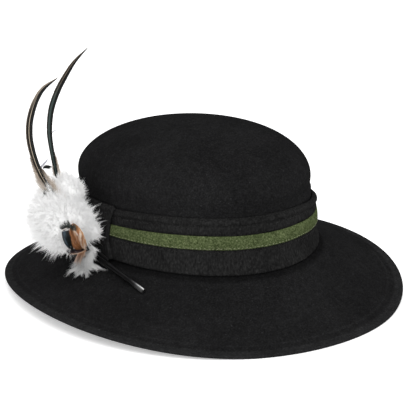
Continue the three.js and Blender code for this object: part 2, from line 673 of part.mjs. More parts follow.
add('felt_body', feltBody(), 0x1d1d1f, 0.95);
add('band_lower', lowerBand(), 0x1b1b1d, 0.95);
add('green_strip', greenStrip(), 0x454d35, 0.95);
add('band_upper', upperBand(), 0x202022, 0.95);
add('band_keeper', keeper(), 0x1c1c1e, 0.95);
add('marabou_plume', toGeometry(plumeBody), 0xf2f0ee, 1);
add('marabou_tip', toGeometry(tuft), 0xefecea, 1);
add('sickle_feather_right', sickleFeather(sickleRight, sickleRightRows), 0x1a231f, 0.45);
add('sickle_feather_left', sickleFeather(sickleLeft, sickleLeftRows), 0x1c211e, 0.45);
add('brown_feather', plumeBlade(brownFeather), 0x9a6238, 0.6);
add('blue_black_feather', plumeBlade(blueBlackFeather), 0x1b2228, 0.35);
add('brown_feather_lower', lowerBrownFeather(), 0x96673f, 0.6);
quillsGrown(0).forEach((geometry, i) => add(`quill_stem_${i + 1}`, geometry, 0x0b0b0c, 0.25));

export default hat;
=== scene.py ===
# Looks of a black wool felt tyrolean hat: a blocked crown and brim, a stitched felt band with a green strip,
# a felt keeper and a feather trim of white marabou, two sickle feathers, small covert feathers and cut
# quills. Sizes are in millimetres; meshes are written in metres, in the frame of the CAD part.
import math

import bpy
import numpy as np
from mathutils import Matrix, Vector


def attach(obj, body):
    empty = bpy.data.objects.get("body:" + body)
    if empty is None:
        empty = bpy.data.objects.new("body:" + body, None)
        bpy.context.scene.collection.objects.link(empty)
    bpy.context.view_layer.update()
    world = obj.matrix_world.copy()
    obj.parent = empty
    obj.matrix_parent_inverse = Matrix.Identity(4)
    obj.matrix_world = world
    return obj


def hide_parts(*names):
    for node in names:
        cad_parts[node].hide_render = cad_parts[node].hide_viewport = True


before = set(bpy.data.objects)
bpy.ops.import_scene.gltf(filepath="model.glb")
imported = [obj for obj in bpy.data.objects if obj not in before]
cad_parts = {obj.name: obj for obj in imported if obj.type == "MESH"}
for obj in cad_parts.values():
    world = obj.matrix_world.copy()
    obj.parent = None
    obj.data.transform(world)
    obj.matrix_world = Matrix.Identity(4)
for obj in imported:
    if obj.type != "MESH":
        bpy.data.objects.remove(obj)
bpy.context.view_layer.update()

# The camera: a studio view from the wearer's right front, a little above the brim, as a product picture is
# taken. Its place, aim, roll and lens come from the brim's outline and the band's edges.
camera_place = Vector((-0.49124, -0.75431, 0.33697))
camera_aim = Vector((0.00115, -0.00075, 0.05832))
camera_roll = math.radians(-0.587)
camera = bpy.data.objects.new("camera", bpy.data.cameras.new("camera"))
camera.data.sensor_width = 36
camera.data.lens = 109.59
back = (camera_place - camera_aim).normalized()
level = Vector((0, 0, 1)).cross(back).normalized()
right = math.cos(camera_roll) * level + math.sin(camera_roll) * back.cross(level)
turned = Matrix((right, back.cross(right), back)).transposed().to_4x4()
camera.matrix_world = Matrix.Translation(camera_place) @ turned
bpy.context.collection.objects.link(camera)
bpy.context.scene.camera = camera

# The studio: a pale, faintly lit table in a white room. A large soft panel over the crown, a weaker one from
# the front left and a small one from behind on the right shape the felt.
room = bpy.data.worlds.new("white room")
room.use_nodes = True
room.node_tree.nodes["Background"].inputs["Color"].default_value = (1.0, 1.0, 1.0, 1)
room.node_tree.nodes["Background"].inputs["Strength"].default_value = 1.0
bpy.context.scene.world = room
bpy.context.scene.view_settings.view_transform = "Standard"
soft_panels = [
    ("panel over the crown", (-0.25, -0.55, 1.25), (0.0, 0.0, 0.05), 1.1, 5.0),
    ("panel front left", (-0.95, -1.05, 0.6), (-0.05, 0.0, 0.06), 0.8, 3.0),
    ("panel behind right", (0.9, 1.0, 0.9), (0.0, 0.0, 0.06), 0.7, 2.0),
]
for panel_name, place, aim, size, power in soft_panels:
    panel = bpy.data.objects.new(panel_name, bpy.data.lights.new(panel_name, "AREA"))
    panel.data.size = size
    panel.data.energy = power
    panel.location = place
    panel.rotation_euler = (Vector(aim) - Vector(place)).to_track_quat("-Z", "Y").to_euler()
    bpy.context.collection.objects.link(panel)

floor_half = 4.0
floor_mesh = bpy.data.meshes.new("floor")
floor_mesh.from_pydata(
    [(-floor_half, -floor_half, 0), (floor_half, -floor_half, 0),
     (floor_half, floor_half, 0), (-floor_half, floor_half, 0)], [], [(0, 1, 2, 3)])
floor = bpy.data.objects.new("floor", floor_mesh)
floor_paint = bpy.data.materials.new("floor paint")
floor_paint.use_nodes = True
for socket, value in (("Base Color", (0.95, 0.95, 0.95, 1)), ("Roughness", 0.9),
                      ("Emission Color", (1, 1, 1, 1)), ("Emission Strength", 0.35)):
    floor_paint.node_tree.nodes["Principled BSDF"].inputs[socket].default_value = value
floor_mesh.materials.append(floor_paint)
bpy.context.collection.objects.link(floor)

# The felt body: crown and brim are one hood of wool felt, steamed and blocked to shape, 2.4 mm thick, with a
# plain cut edge. It rests on the front and back of the brim and arches a little at the sides.
felt_thickness = 2.4
head_width, head_length = 164, 197.6
crown_half_width = head_width / 2 + felt_thickness
crown_half_length = head_length / 2 + felt_thickness
crown_height = 121.7
crown_back = 13
crown_squareness = 1.97
crown_egg = 0.033
crown_tilt = math.radians(0.68)
top_forward = 7.3
top_shortening = 0.038
top_roundness = 2.44
brim_length = 322.4
brim_width = 290.6
brim_squareness = 2.064
brim_egg = 0.03
brim_sweep = 1.25
rim_flat = 5
side_lift = 8.2
rest_share = 0.138
lift_ease = 1.3
foot_height = 36
foot_flare = 3.55
lower_band_height, green_strip_height, upper_band_height = 17.1, 11.4, 11.4
green_bottom = foot_height + lower_band_height
green_top = green_bottom + green_strip_height
band_top = green_top + upper_band_height
dome_above_band = 2
dome_base = band_top + dome_above_band
band_tuck, tuck_turn, tuck_start, tuck_fade = 3.2, math.radians(65), -0.2, 0.35
dome_tuck, dome_tuck_behind, dome_tuck_rise = 1.5, 0.8, 15


def signed_power(value, exponent):
    """The value's size to a power, with its sign kept."""
    return np.sign(value) * np.abs(value) ** exponent


def oval_point(angle, half_width, half_length, squareness, egg):
    """A flat oval round the hat: cosine and sine, each to the power 2 / squareness, times the half sizes,
    and narrowed by the egg share towards the front."""
    x = half_width * signed_power(np.cos(angle), 2 / squareness)
    y = half_length * signed_power(np.sin(angle), 2 / squareness)
    return x * (1 + egg * y / half_length), y


def lean_crown(x, y, height):
    """The upright crown leans by crown_tilt about its centre and stands crown_back behind the brim's
    centre."""
    x, y, height = np.broadcast_arrays(x, y, height)
    sine, cosine = math.sin(crown_tilt), math.cos(crown_tilt)
    return np.stack([x, y * cosine - height * sine + crown_back, y * sine + height * cosine], -1)


def smooth_step(value):
    """A value cut off below 0 and above 1 and eased at both ends: its square times three less its double."""
    value = np.clip(value, 0, 1)
    return value ** 2 * (3 - 2 * value)


def tight_share(angle):
    """How far an angle lies in the band's tight stretch: its cosine from the stretch's middle, less where
    the stretch starts, over the width of its fade."""
    return (np.cos(angle - tuck_turn) - tuck_start) / tuck_fade


def crown_point(angle, stand, height):
    """A point off the crown's straight wall: the crown's oval, grown by the stand, less the tuck of the
    tight band, which a smooth step of the tight share sets in."""
    off = stand - band_tuck * smooth_step(tight_share(angle))
    x, y = oval_point(angle, crown_half_width + off, crown_half_length + off, crown_squareness, crown_egg)
    return lean_crown(x, y, height)


def dome_point(angle, climb, inset):
    """The crown's dome: the oval shrinks with the cosine of the climb and rises with its sine to the power 2
    / top_roundness, while it shortens and its middle moves forward. Its foot is drawn in to the band by the
    square of what is left of dome_tuck_rise, and more so in the tight stretch."""
    rise = np.sin(climb) ** (2 / top_roundness)
    reach = np.cos(climb)
    half_width = np.maximum((crown_half_width - inset) * reach, 0.001)
    half_length = np.maximum((crown_half_length - inset) * reach * (1 - top_shortening * rise), 0.001)
    x, y = oval_point(angle, half_width, half_length, crown_squareness, crown_egg * reach)
    height = dome_base + (crown_height - inset - dome_base) * rise
    above = np.clip((height - dome_base) / dome_tuck_rise, 0, 1)
    drawn_in = dome_tuck + dome_tuck_behind * np.clip(tight_share(angle), 0, 1)
    tucked = 1 - (1 - above) ** 2 * drawn_in / crown_half_width
    return lean_crown(x * tucked, (y - top_forward * rise) * tucked, height)


def rim_point(angle):
    """The brim's outline: an oval, level in front and behind, and lifted at the sides by a power of the
    squared cosine beyond the resting share."""
    x, y = oval_point(angle, brim_width / 2, brim_length / 2, brim_squareness, brim_egg)
    side = np.maximum(0, np.cos(angle) ** 2 - rest_share) / (1 - rest_share)
    return np.stack([x, y, side_lift * side ** lift_ease + felt_thickness], -1)


def brim_point(angle, share):
    """The brim's upper face: a straight run in plan from the crown's foot to the rim, falling by a power of
    what is left of the run, and level over the outermost rim_flat."""
    foot, rim = crown_point(angle, foot_flare, foot_height), rim_point(angle)
    length = np.hypot(*np.moveaxis((rim - foot)[..., :2], -1, 0))
    left = np.maximum(0, 1 - share / (1 - rim_flat / length))
    point = foot + (rim - foot) * np.asarray(share)[..., None]
    point[..., 2] = rim[..., 2] + (foot - rim)[..., 2] * left ** brim_sweep
    return point, length


def brim_underside(angle, share):
    """The brim's lower face: the upper face lowered by the felt's thickness, measured square to the slope."""
    point, length = brim_point(angle, share)
    foot, rim = crown_point(angle, foot_flare, foot_height), rim_point(angle)
    end = 1 - rim_flat / length
    left = np.maximum(0, 1 - share / end)
    slope = (foot - rim)[..., 2] * brim_sweep * left ** (brim_sweep - 1) / end / length * (left > 0)
    point[..., 2] -= felt_thickness * np.hypot(1, slope)
    return point


def new_piece(name, points, faces, uv=None):
    """A smooth object from points and faces; uv gives a pair for each point. The whole mesh is turned the
    other way round where its signed volume, the sum over its triangles of the corner products, is
    negative."""
    mesh = bpy.data.meshes.new(name)
    mesh.from_pydata((points * 0.001).tolist(), [], faces)
    piece = bpy.data.objects.new(name, mesh)
    bpy.context.collection.objects.link(piece)
    mesh.calc_loop_triangles()
    triangles = np.empty(len(mesh.loop_triangles) * 3, np.int32)
    mesh.loop_triangles.foreach_get("vertices", triangles)
    places = np.empty(len(mesh.vertices) * 3)
    mesh.vertices.foreach_get("co", places)
    a, b, c = np.moveaxis(places.reshape(-1, 3)[triangles.reshape(-1, 3)], 1, 0)
    if np.einsum("ij,ij->i", a, np.cross(b, c)).sum() < 0:
        mesh.flip_normals()
    mesh.polygons.foreach_set("use_smooth", np.full(len(mesh.polygons), True))
    if uv is not None:
        corner = np.empty(len(mesh.loops), np.int32)
        mesh.loops.foreach_get("vertex_index", corner)
        mesh.uv_layers.new(name="run").data.foreach_set("uv", uv[corner].ravel())
    return piece


def surface(name, grid, ends=True, across=None):
    """A mesh from a grid of points in rows and columns, each row closed on itself. Its first and last rows
    are closed by a fan to their middle, or joined to each other where ends is False. UV: x round, which
    across can give for each column, and y along."""
    rows, columns = grid.shape[:2]
    points = grid.reshape(-1, 3)
    low = np.arange(rows - 1 if ends else rows)[:, None] * columns
    high = (low + columns) % (rows * columns)
    here = np.arange(columns)[None, :]
    there = (here + 1) % columns
    faces = np.stack([low + here, low + there, high + there, high + here], -1).reshape(-1, 4).tolist()
    along, round_it = np.linspace(0, 1, rows), np.linspace(0, 1, columns) if across is None else across
    uv = np.stack([np.tile(round_it, rows), np.repeat(along, columns)], -1)
    if ends:
        points = np.concatenate([points, [grid[0].mean(0), grid[-1].mean(0)]])
        uv = np.concatenate([uv, [[0.5, 0], [0.5, 1]]])
        first, last, base = rows * columns, rows * columns + 1, (rows - 1) * columns
        here, there = here[0], there[0]
        faces += np.stack([np.full(columns, first), there, here], -1).tolist()
        faces += np.stack([np.full(columns, last), base + here, base + there], -1).tolist()
    return new_piece(name, points, faces, uv)


def finish_with(piece, material, slot, *nodes):
    """Gives a piece its material, lets it ride on the hat and hides the CAD nodes that it stands for. The
    slot is not used."""
    piece.data.materials.clear()
    piece.data.materials.append(material)
    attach(piece, "root")
    if nodes:
        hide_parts(*nodes)


def new_finish(name, roughness, specular, sheen=0.0):
    """A material with its constant shader values set on the sockets; gives its node tree and shader."""
    material = bpy.data.materials.new(name)
    material.use_nodes = True
    tree = material.node_tree
    shader = tree.nodes["Principled BSDF"]
    shader.inputs["Roughness"].default_value = roughness
    shader.inputs["Specular IOR Level"].default_value = specular
    shader.inputs["Sheen Weight"].default_value = sheen
    return material, tree, shader


def own_run(tree):
    """The piece's own UV, as two sockets: across or round it, and along it."""
    split = tree.nodes.new("ShaderNodeSeparateXYZ")
    tree.links.new(tree.nodes.new("ShaderNodeTexCoord").outputs["UV"], split.inputs["Vector"])
    return split.outputs["X"], split.outputs["Y"]


def noise(tree, coordinates, scale, detail=2.0, stretch=(1, 1, 1)):
    """A noise texture on the given coordinates, stretched by a Mapping node; gives its value socket."""
    mapping = tree.nodes.new("ShaderNodeMapping")
    mapping.inputs["Scale"].default_value = stretch
    texture = tree.nodes.new("ShaderNodeTexNoise")
    texture.inputs["Scale"].default_value = scale
    texture.inputs["Detail"].default_value = detail
    tree.links.new(coordinates, mapping.inputs["Vector"])
    tree.links.new(mapping.outputs["Vector"], texture.inputs["Vector"])
    return texture.outputs["Fac"]


def rgba(colour):
    """The four values of a colour that is given as three linear ones or as one grey."""
    return (*np.broadcast_to(colour, 3).tolist(), 1)


def ramp(tree, value, stops):
    """A colour ramp on a value: stops of place and colour; gives its colour socket."""
    node = tree.nodes.new("ShaderNodeValToRGB")
    band = node.color_ramp
    band.elements.remove(band.elements[-1])
    band.elements[0].position = stops[0][0]
    band.elements[0].color = rgba(stops[0][1])
    for place, colour in stops[1:]:
        band.elements.new(place).color = rgba(colour)
    tree.links.new(value, node.inputs["Fac"])
    return node.outputs["Color"]


def blend_colours(tree, share, one, other, how="MIX"):
    """Mixes two colours, each a socket or a colour, by a share that is a socket or a number, or in another
    way of the Mix node."""
    node = tree.nodes.new("ShaderNodeMix")
    node.data_type, node.blend_type = "RGBA", how
    for socket, value in ((node.inputs[0], share), (node.inputs[6], one), (node.inputs[7], other)):
        if isinstance(value, bpy.types.NodeSocket):
            tree.links.new(value, socket)
        else:
            socket.default_value = value if socket.type == "VALUE" else rgba(value)
    return node.outputs[2]


def product(tree, one, other):
    """The product of two colours."""
    return blend_colours(tree, 1.0, one, other, "MULTIPLY")


def add_bump(tree, shader, height, strength, distance):
    """Bump from a height socket, chained on any bump that the shader already has."""
    bump = tree.nodes.new("ShaderNodeBump")
    bump.inputs["Strength"].default_value = strength
    bump.inputs["Distance"].default_value = distance
    tree.links.new(height, bump.inputs["Height"])
    if shader.inputs["Normal"].is_linked:
        tree.links.new(shader.inputs["Normal"].links[0].from_socket, bump.inputs["Normal"])
    tree.links.new(bump.outputs["Normal"], shader.inputs["Normal"])


def felt_finish(name, dark, middle, light, lint, nap=(1, 1, 1)):
    """Wool felt: a matt, flecked ground from three sizes of noise, sparse paler lint, and a fine nap in the
    bump, drawn out along nap where the felt was brushed."""
    material, tree, shader = new_finish(name, 1.0, 0.0)
    place = tree.nodes.new("ShaderNodeTexCoord").outputs["Object"]
    fleck = noise(tree, place, 900, 3, nap)
    mottle = noise(tree, place, 240, 3, nap)
    cloud = noise(tree, place, 28, 2)
    ground = ramp(tree, fleck, [(0.3, dark), (0.5, middle), (0.72, light)])
    clouded = ramp(tree, cloud, [(0.35, 0.86), (0.65, 1.1)])
    mottled = ramp(tree, mottle, [(0.3, 0.84), (0.7, 1.16)])
    ground = product(tree, ground, clouded)
    ground = product(tree, ground, mottled)
    lint_spots = ramp(tree, noise(tree, place, 620, 1), [(0.70, 0), (0.78, 1)])
    tree.links.new(blend_colours(tree, lint_spots, ground, lint), shader.inputs["Base Color"])
    add_bump(tree, shader, mottle, 0.35, 0.0006)
    add_bump(tree, shader, fleck, 0.5, 0.0003)
    return material


turn_count = 320
turns = np.linspace(0, 2 * math.pi, turn_count, endpoint=False)[None, :]
down_climbs = np.linspace(math.radians(89), 0, 46)[:, None]
wall_drops = np.linspace(0, 1, 26)[:, None]
brim_shares = np.linspace(0, 1, 44)[:, None]
edge_turns = np.linspace(math.pi / 2, -math.pi / 2, 9)[:, None]


def wall_rows(inset):
    """The crown's wall from the band's top edge to the brim's foot: straight, then flared by the square of
    how far it has come down the lower band."""
    height = band_top + (foot_height - band_top) * wall_drops
    low = np.clip((green_bottom - height) / lower_band_height, 0, 1)
    return crown_point(turns, foot_flare * low ** 2 - inset, height)


run_length = brim_point(turns, 1.0 + 0 * turns)[1]
edge_share = 1 - felt_thickness / 2 / run_length
brim_rows = brim_point(turns, brim_shares * edge_share)[0]
under_rows = brim_underside(turns, brim_shares[:0:-1] * edge_share)
outward = rim_point(turns) - crown_point(turns, foot_flare, foot_height)
outward = outward / np.hypot(outward[..., 0], outward[..., 1])[..., None] * [1, 1, 0]
edge_middle = brim_point(turns, edge_share)[0] - [0, 0, felt_thickness / 2]
cut_edge = (edge_middle + outward * (felt_thickness / 2 * np.cos(edge_turns) ** 0.6)[..., None]
            + np.array([0, 0, 1]) * (felt_thickness / 2 * signed_power(np.sin(edge_turns), 0.8))[..., None])
inner_wall = wall_rows(felt_thickness)[::-1]
felt_rows = np.concatenate([
    dome_point(turns, down_climbs, 0), wall_rows(0), brim_rows[1:-1], cut_edge, under_rows[1:-1],
    inner_wall, dome_point(turns, down_climbs[::-1], felt_thickness)])
felt_body = surface("felt_hood", felt_rows)
black_felt = felt_finish("black wool felt", (0.0072, 0.0072, 0.0074), (0.0104, 0.0104, 0.0107),
                         (0.0165, 0.0165, 0.0168), (0.024, 0.024, 0.025))


def run_at(share):
    """Where a share of the brim's width, from the crown's foot, lies in the hood's UV, counted in rows."""
    foot_row = len(down_climbs) + len(wall_drops) - 1
    return (foot_row + share * (len(brim_shares) - 1)) / (len(felt_rows) - 1)


def shade_by_run(material, stops):
    """Multiplies a finish's colour by greys along the piece's run: stops of place and grey."""
    tree = material.node_tree
    base_colour = tree.nodes["Principled BSDF"].inputs["Base Color"]
    shade = ramp(tree, own_run(tree)[1], stops)
    tree.links.new(product(tree, base_colour.links[0].from_socket, shade), base_colour)


# Greys at shares of the brim's width, painted light and shade: painted shadow darkens the felt at the crown's
# foot, close under the band, and painted highlight makes it paler on the flattened rim, which faces the light
# from above, along the faint line pressed in there, and over its cut edge.
painted_foot_shadow = [(-0.03, 1), (0, 0.6), (0.085, 0.6), (0.12, 1)]
painted_rim_highlight = [(0.835, 1), (0.85, 1.35), (0.87, 1), (0.915, 1.05), (0.935, 1.6)]
edge_run = (len(cut_edge) - 1) / (len(felt_rows) - 1)
painted_edge_highlight = [(run_at(1) + edge_run / 2, 1.5), (run_at(1) + edge_run, 1)]
shade_by_run(black_felt, [(run_at(share), grey) for share, grey in painted_foot_shadow + painted_rim_highlight] + painted_edge_highlight)
finish_with(felt_body, black_felt, "felt", "felt_body")

# The lower band: a wide strip of softer felt round the foot of the crown, set with its grain upright. Its
# bottom edge is turned under and stands off the brim in a soft roll; its top edge runs in behind the green
# strip.
band_gap = 0.3
lower_band_stand, band_foot_stand, lower_band_thickness = 4.6, 7.35, 3
green_stand = 5.3
tongue_stand, tongue_thickness = 3.4, 1
tongue_below, tongue_fade = 0.9, 0.7
seam_middle = (green_bottom + green_top) / 2
foot_roll, foot_gap = 1.6, 2.3
keeper_turn, pinch_behind, pinch_in_front = math.radians(185), 0.42, 0.9
dip_turn, dip_start, band_dip, dip_drop = math.radians(-27), 0.68, 2.6, 3.2
far_start, far_fade, far_drop = -0.3, 0.45, 2.2


def round_ripple(angle, seed, waves, size):
    """An uneven edge round the hat: a sum of sines with whole numbers of waves and random phases, scaled to
    a size."""
    draw = np.random.default_rng(seed)
    phases = draw.uniform(0, 2 * math.pi, len(waves))
    return size / math.sqrt(len(waves)) * sum(np.sin(w * angle + p) for w, p in zip(waves, phases))


def lower_face(share):
    """The lower band's face leans out towards its foot by the square of the share still below its top."""
    return lower_band_stand + (band_foot_stand - lower_band_stand) * (1 - share) ** 2


def brim_height(angle, stand):
    """The brim's height under a point that stands off the crown's wall."""
    length = brim_point(angle, 0 * angle)[1]
    return brim_point(angle, (stand - foot_flare) / length)[0][..., 2]


def pinch_at(angle):
    """From 0 to 1, how much the band is pinched towards the keeper: a bell curve of the angle, wider in
    front."""
    width = np.where(angle > keeper_turn, pinch_behind, pinch_in_front)
    return np.exp(-((angle - keeper_turn) / width) ** 2)


def dip_at(angle):
    """From 0 to 1, how much the band dips towards the wearer's left front: the angle's cosine, cut off below
    dip_start, to the power 1.5, and eased at its top."""
    share = np.clip((np.cos(angle - dip_turn) - dip_start) / (1 - dip_start), 0, 1)
    return share ** 1.5 * (2 - share) ** 0.5


def far_side_at(angle):
    """From 0 in front to 1 on the side away from the trim, by a smooth step of the cosine."""
    return smooth_step((np.cos(angle - tuck_turn) - far_start) / far_fade)


band_turns = np.linspace(0, 2 * math.pi, 480, endpoint=False)[None, :]
pinch = pinch_at(band_turns)
dip = band_dip * dip_at(band_turns)
face_climb = np.linspace(0, 1, 26)[:, None]
face_low = brim_height(band_turns, band_foot_stand) + foot_gap + foot_roll
face_height = face_low + (seam_middle - band_gap - face_low) * face_climb
face_share = np.clip((face_height - foot_height) / lower_band_height, 0, 1)
grain = round_ripple(band_turns, 3, [61, 83, 107, 139, 171], 0.05)
sway = round_ripple(band_turns, 4, [5, 8, 13, 19, 27], 0.22) * np.sin(math.pi * face_share) ** 0.5
face_stand = lower_face(face_share) + grain + sway
behind_green = np.clip((face_height - green_bottom + tongue_below) / tongue_fade, 0, 1)
face_stand = face_stand + (tongue_stand - face_stand) * behind_green
roll_turns = np.linspace(-math.pi / 2, 0, 8)[:-1, None]
roll_stand = face_stand[:1] - foot_roll + foot_roll * np.cos(roll_turns)
roll_height = face_low + foot_roll * np.sin(roll_turns)
inside_climb = np.linspace(1, 0, 8)[:, None]
inside_height = face_low + (seam_middle - band_gap - face_low) * inside_climb
inside_share = np.clip((inside_height - foot_height) / lower_band_height, 0, 1)
flare = foot_flare * (1 - inside_share) ** 2
inside_stand = np.maximum(flare + band_gap, lower_face(inside_share) - lower_band_thickness)
inside_stand = np.minimum(inside_stand, tongue_stand - tongue_thickness)
band_section = np.concatenate([
    crown_point(band_turns, roll_stand, roll_height), crown_point(band_turns, face_stand, face_height),
    crown_point(band_turns, inside_stand, inside_height)])
band_lower = surface("hat_band_lower", band_section, ends=False)
band_felt = felt_finish("black band felt", 0.0080, 0.0130,
                        (0.0225, 0.0225, 0.0222), 0.028, nap=(1, 1, 0.45))
finish_with(band_lower, band_felt, "band_felt", "band_lower")

# The green strip: a narrow strip of olive felt, cut and laid over the seam of the two bands, and sewn down
# along its lower edge with a pale green thread.
green_edge = 0.45
strip_back = 3.7
strip_rise, strip_cut, strip_pinch_low, strip_pinch_high = 0.5, 1.1, 0.5, 2.3
strip_outline = np.array([
    (strip_back, 0), (green_stand - green_edge, 0), (green_stand - 0.15, 0.15), (green_stand, green_edge),
    (green_stand + 0.12, 1.2), (green_stand + 0.05, 1.9), (green_stand + 0.2, 3.0), (green_stand + 0.15, 5.5),
    (green_stand - 0.1, 8.0), (green_stand - 0.45, 9.8),
    (green_stand - 0.65, green_strip_height - green_edge), (green_stand - 0.85, green_strip_height - 0.15),
    (green_stand - 1.2, green_strip_height),
    (strip_back, green_strip_height)])
strip_ripple = round_ripple(band_turns, 5, [7, 11, 17, 23], 0.1)
strip_wave = round_ripple(band_turns, 6, [3, 5, 9], 0.12)
strip_low = green_bottom + strip_rise - strip_pinch_low * pinch - dip + strip_wave
strip_high = green_top - strip_cut - strip_pinch_high * pinch - dip + strip_wave
on_face = strip_outline[:, :1] > strip_back
strip_section = crown_point(band_turns, strip_outline[:, :1] + strip_ripple * on_face,
                            strip_low + (strip_high - strip_low) * strip_outline[:, 1:] / green_strip_height)
green_strip = surface("green_felt_strip", strip_section, ends=False)
green_felt = felt_finish("olive green felt", (0.026, 0.036, 0.013), (0.056, 0.073, 0.03),
                         (0.115, 0.135, 0.066), (0.15, 0.165, 0.09))
finish_with(green_strip, green_felt, "green_felt", "green_strip")

# The upper band: felt folded over at the top into a soft roll and top-stitched along a groove below the
# fold. Its lower edge ends just above the green strip, with a dark gap between them.
upper_stand = 3.8
groove_height = band_top - 5.5
upper_back = 0.3
upper_pinch = 3.0
seam_drop = 0.9
shoulder_rise, shoulder_share = 7, 0.7
upper_outline = np.array([
    (tongue_stand, seam_middle + band_gap), (tongue_stand, green_top + 0.5),
    (upper_stand - 0.3, green_top + 0.7), (upper_stand, green_top + 1.0),
    (upper_stand + 0.25, green_top + 1.7), (upper_stand + 0.3, groove_height - 1.6),
    (upper_stand + 0.1, groove_height - 0.8),
    (upper_stand - 0.45, groove_height - 0.25), (upper_stand - 0.55, groove_height),
    (upper_stand - 0.3, groove_height + 0.35), (upper_stand + 0.3, groove_height + 1.0),
    (upper_stand + 0.8, groove_height + 1.8), (upper_stand + 0.9, groove_height + 2.5),
    (upper_stand + 0.6, groove_height + 3.3), (upper_stand - 0.1, groove_height + 4.1),
    (upper_stand - 1.1, groove_height + 4.8), (upper_stand - 2.2, band_top - 0.25),
    (0.9, band_top - 0.2), (upper_back, band_top - 1.0), (upper_back, seam_middle + band_gap)])
upper_out, upper_height = upper_outline[:, :1], upper_outline[:, 1:]
fold_ripple = round_ripple(band_turns, 7, [9, 14, 22, 31, 47], 0.14)
fold_wave = round_ripple(band_turns, 8, [4, 7, 12], 0.16)
outer_part = upper_out > upper_stand - 0.4
above_seam = np.clip((upper_height - seam_middle) / (band_top - seam_middle), 0, 1)
edge_drop = seam_drop * (upper_height > green_top) * (upper_height < groove_height - 1)
far_side = far_side_at(band_turns)
top_drop = upper_pinch * pinch + far_drop * far_side + dip_drop * dip_at(band_turns)
shoulder = far_side * np.clip((upper_height - groove_height + 1.5) / shoulder_rise, 0, 1) ** 1.3
rounded_stand = upper_back + (upper_out - upper_back) * (1 - shoulder_share * shoulder)
upper_section = crown_point(band_turns, rounded_stand + fold_ripple * outer_part,
                            upper_height + fold_wave * (upper_height > green_top + 1.0)
                            - edge_drop - dip - top_drop * above_seam ** 0.5)
band_upper = surface("hat_band_upper", upper_section, ends=False)
finish_with(band_upper, band_felt, "band_felt", "band_upper")

# The stitches: pale green thread along the green strip's lower edge, black thread in the groove of the upper
# band, and black thread that catches the light along the top of the lower band.
stitch_rings = np.linspace(-1, 1, 7)
stitch_sides = np.linspace(0, 2 * math.pi, 6, endpoint=False)
fine_turns = np.linspace(0, 2 * math.pi, 4001)


def stitch_row(name, stand, height, pitch, length, radius, hump, seed, drop, far_share):
    """A row of stitches round the band: each a small rounded rod along the run, its ends sunk in the felt by
    the square of the way from its middle, spaced evenly by the length of the run. The row follows the band
    down by its drop at the keeper, by the band's dip, and by its share of the upper band's further drop at
    the dip and on the far side."""
    draw = np.random.default_rng(seed)
    run = crown_point(fine_turns, stand, height)
    lengths = np.concatenate([[0], np.cumsum(np.linalg.norm(np.diff(run, axis=0), axis=1))])
    count = int(lengths[-1] / pitch)
    middles = (np.arange(count) + draw.uniform(-0.07, 0.07, count)) * lengths[-1] / count
    reach = length / 2 * draw.uniform(0.88, 1.08, count)
    angle = np.interp(middles[:, None] + reach[:, None] * stitch_rings, lengths, fine_turns)
    lean = draw.uniform(-0.12, 0.12, count)[:, None] * stitch_rings
    thickness = radius * np.sqrt(np.clip(1 - stitch_rings ** 4, 0.04, 1))
    lift = hump * (1 - stitch_rings ** 2)
    out = stand + lift[None, :, None] + (thickness[:, None] * np.cos(stitch_sides))[None]
    rise = height + lean[..., None] + (thickness[:, None] * np.sin(stitch_sides))[None]
    sink = drop * pinch_at(angle) + band_dip * dip_at(angle)
    sink = sink + far_share * (far_drop * far_side_at(angle) + dip_drop * dip_at(angle))
    rise = rise - sink[..., None]
    points = crown_point(angle[..., None], out, rise)
    rings, sides = len(stitch_rings), len(stitch_sides)
    start = (np.arange(count) * rings * sides)[:, None, None]
    low = start + (np.arange(rings - 1) * sides)[None, :, None]
    here, there = np.arange(sides)[None, None, :], (np.arange(sides) + 1)[None, None, :] % sides
    quads = np.stack([low + here, low + there, low + sides + there, low + sides + here], -1)
    first_end = start[:, 0] + np.arange(sides)[::-1]
    last_end = start[:, 0] + (rings - 1) * sides + np.arange(sides)
    faces = quads.reshape(-1, 4).tolist() + first_end.tolist() + last_end.tolist()
    return new_piece(name, points.reshape(-1, 3), faces)


def thread_finish(name, dark, light, roughness):
    """Sewing thread: a twist of light and dark along Object noise, with a soft gloss."""
    material, tree, shader = new_finish(name, roughness, 0.15)
    place = tree.nodes.new("ShaderNodeTexCoord").outputs["Object"]
    twist = ramp(tree, noise(tree, place, 1500, 2), [(0.35, dark), (0.65, light)])
    tree.links.new(twist, shader.inputs["Base Color"])
    return material


pale_thread = thread_finish("pale green thread", (0.1, 0.12, 0.06), (0.3, 0.31, 0.2), 0.6)
black_thread = thread_finish("black thread", 0.010, (0.022, 0.021, 0.020), 0.6)
for row_name, stand, height, pitch, length, radius, hump, seed, drop, far_share, thread, slot_name in (
        ("green_strip_stitches", green_stand - 0.05, green_bottom + 1.6, 2.9, 1.7, 0.2, 0.28, 11, 0.4, 0,
         pale_thread, "green_felt"),
        ("groove_stitches", upper_stand - 0.35, groove_height - 0.9, 2.9, 2.1, 0.2, 0.35, 12, 2.6, 0.87,
         black_thread, "band_felt"),
        ("lower_band_stitches", lower_face(0.88) - 0.12, green_bottom - 1.9, 3.0, 1.7, 0.18, 0.25, 13, 0.2, 0,
         black_thread, "band_felt")):
    stitches = stitch_row(row_name, stand, height, pitch, length, radius, hump, seed, drop, far_share)
    finish_with(stitches, thread, slot_name)

# The keeper: an upright tab of the band's felt, pinched at its waist, which covers the band's join at the
# wearer's right and folds over the top edge. The feather trim is sewn to it.
keeper_thickness, keeper_edge = 2, 0.35
keeper_waist, keeper_end_width = 24.5, 34
keeper_waist_height = foot_height + lower_band_height * 0.8
keeper_middle = 2.8
keeper_low, keeper_top = foot_height + 0.06 * lower_band_height, band_top - 3.6
fold_inset, fold_out, fold_rise, top_stand = 1.6, 2.15, 0.9, 0.55
rib_height, rib_place, rib_width = 0.5, 0.88, 0.07


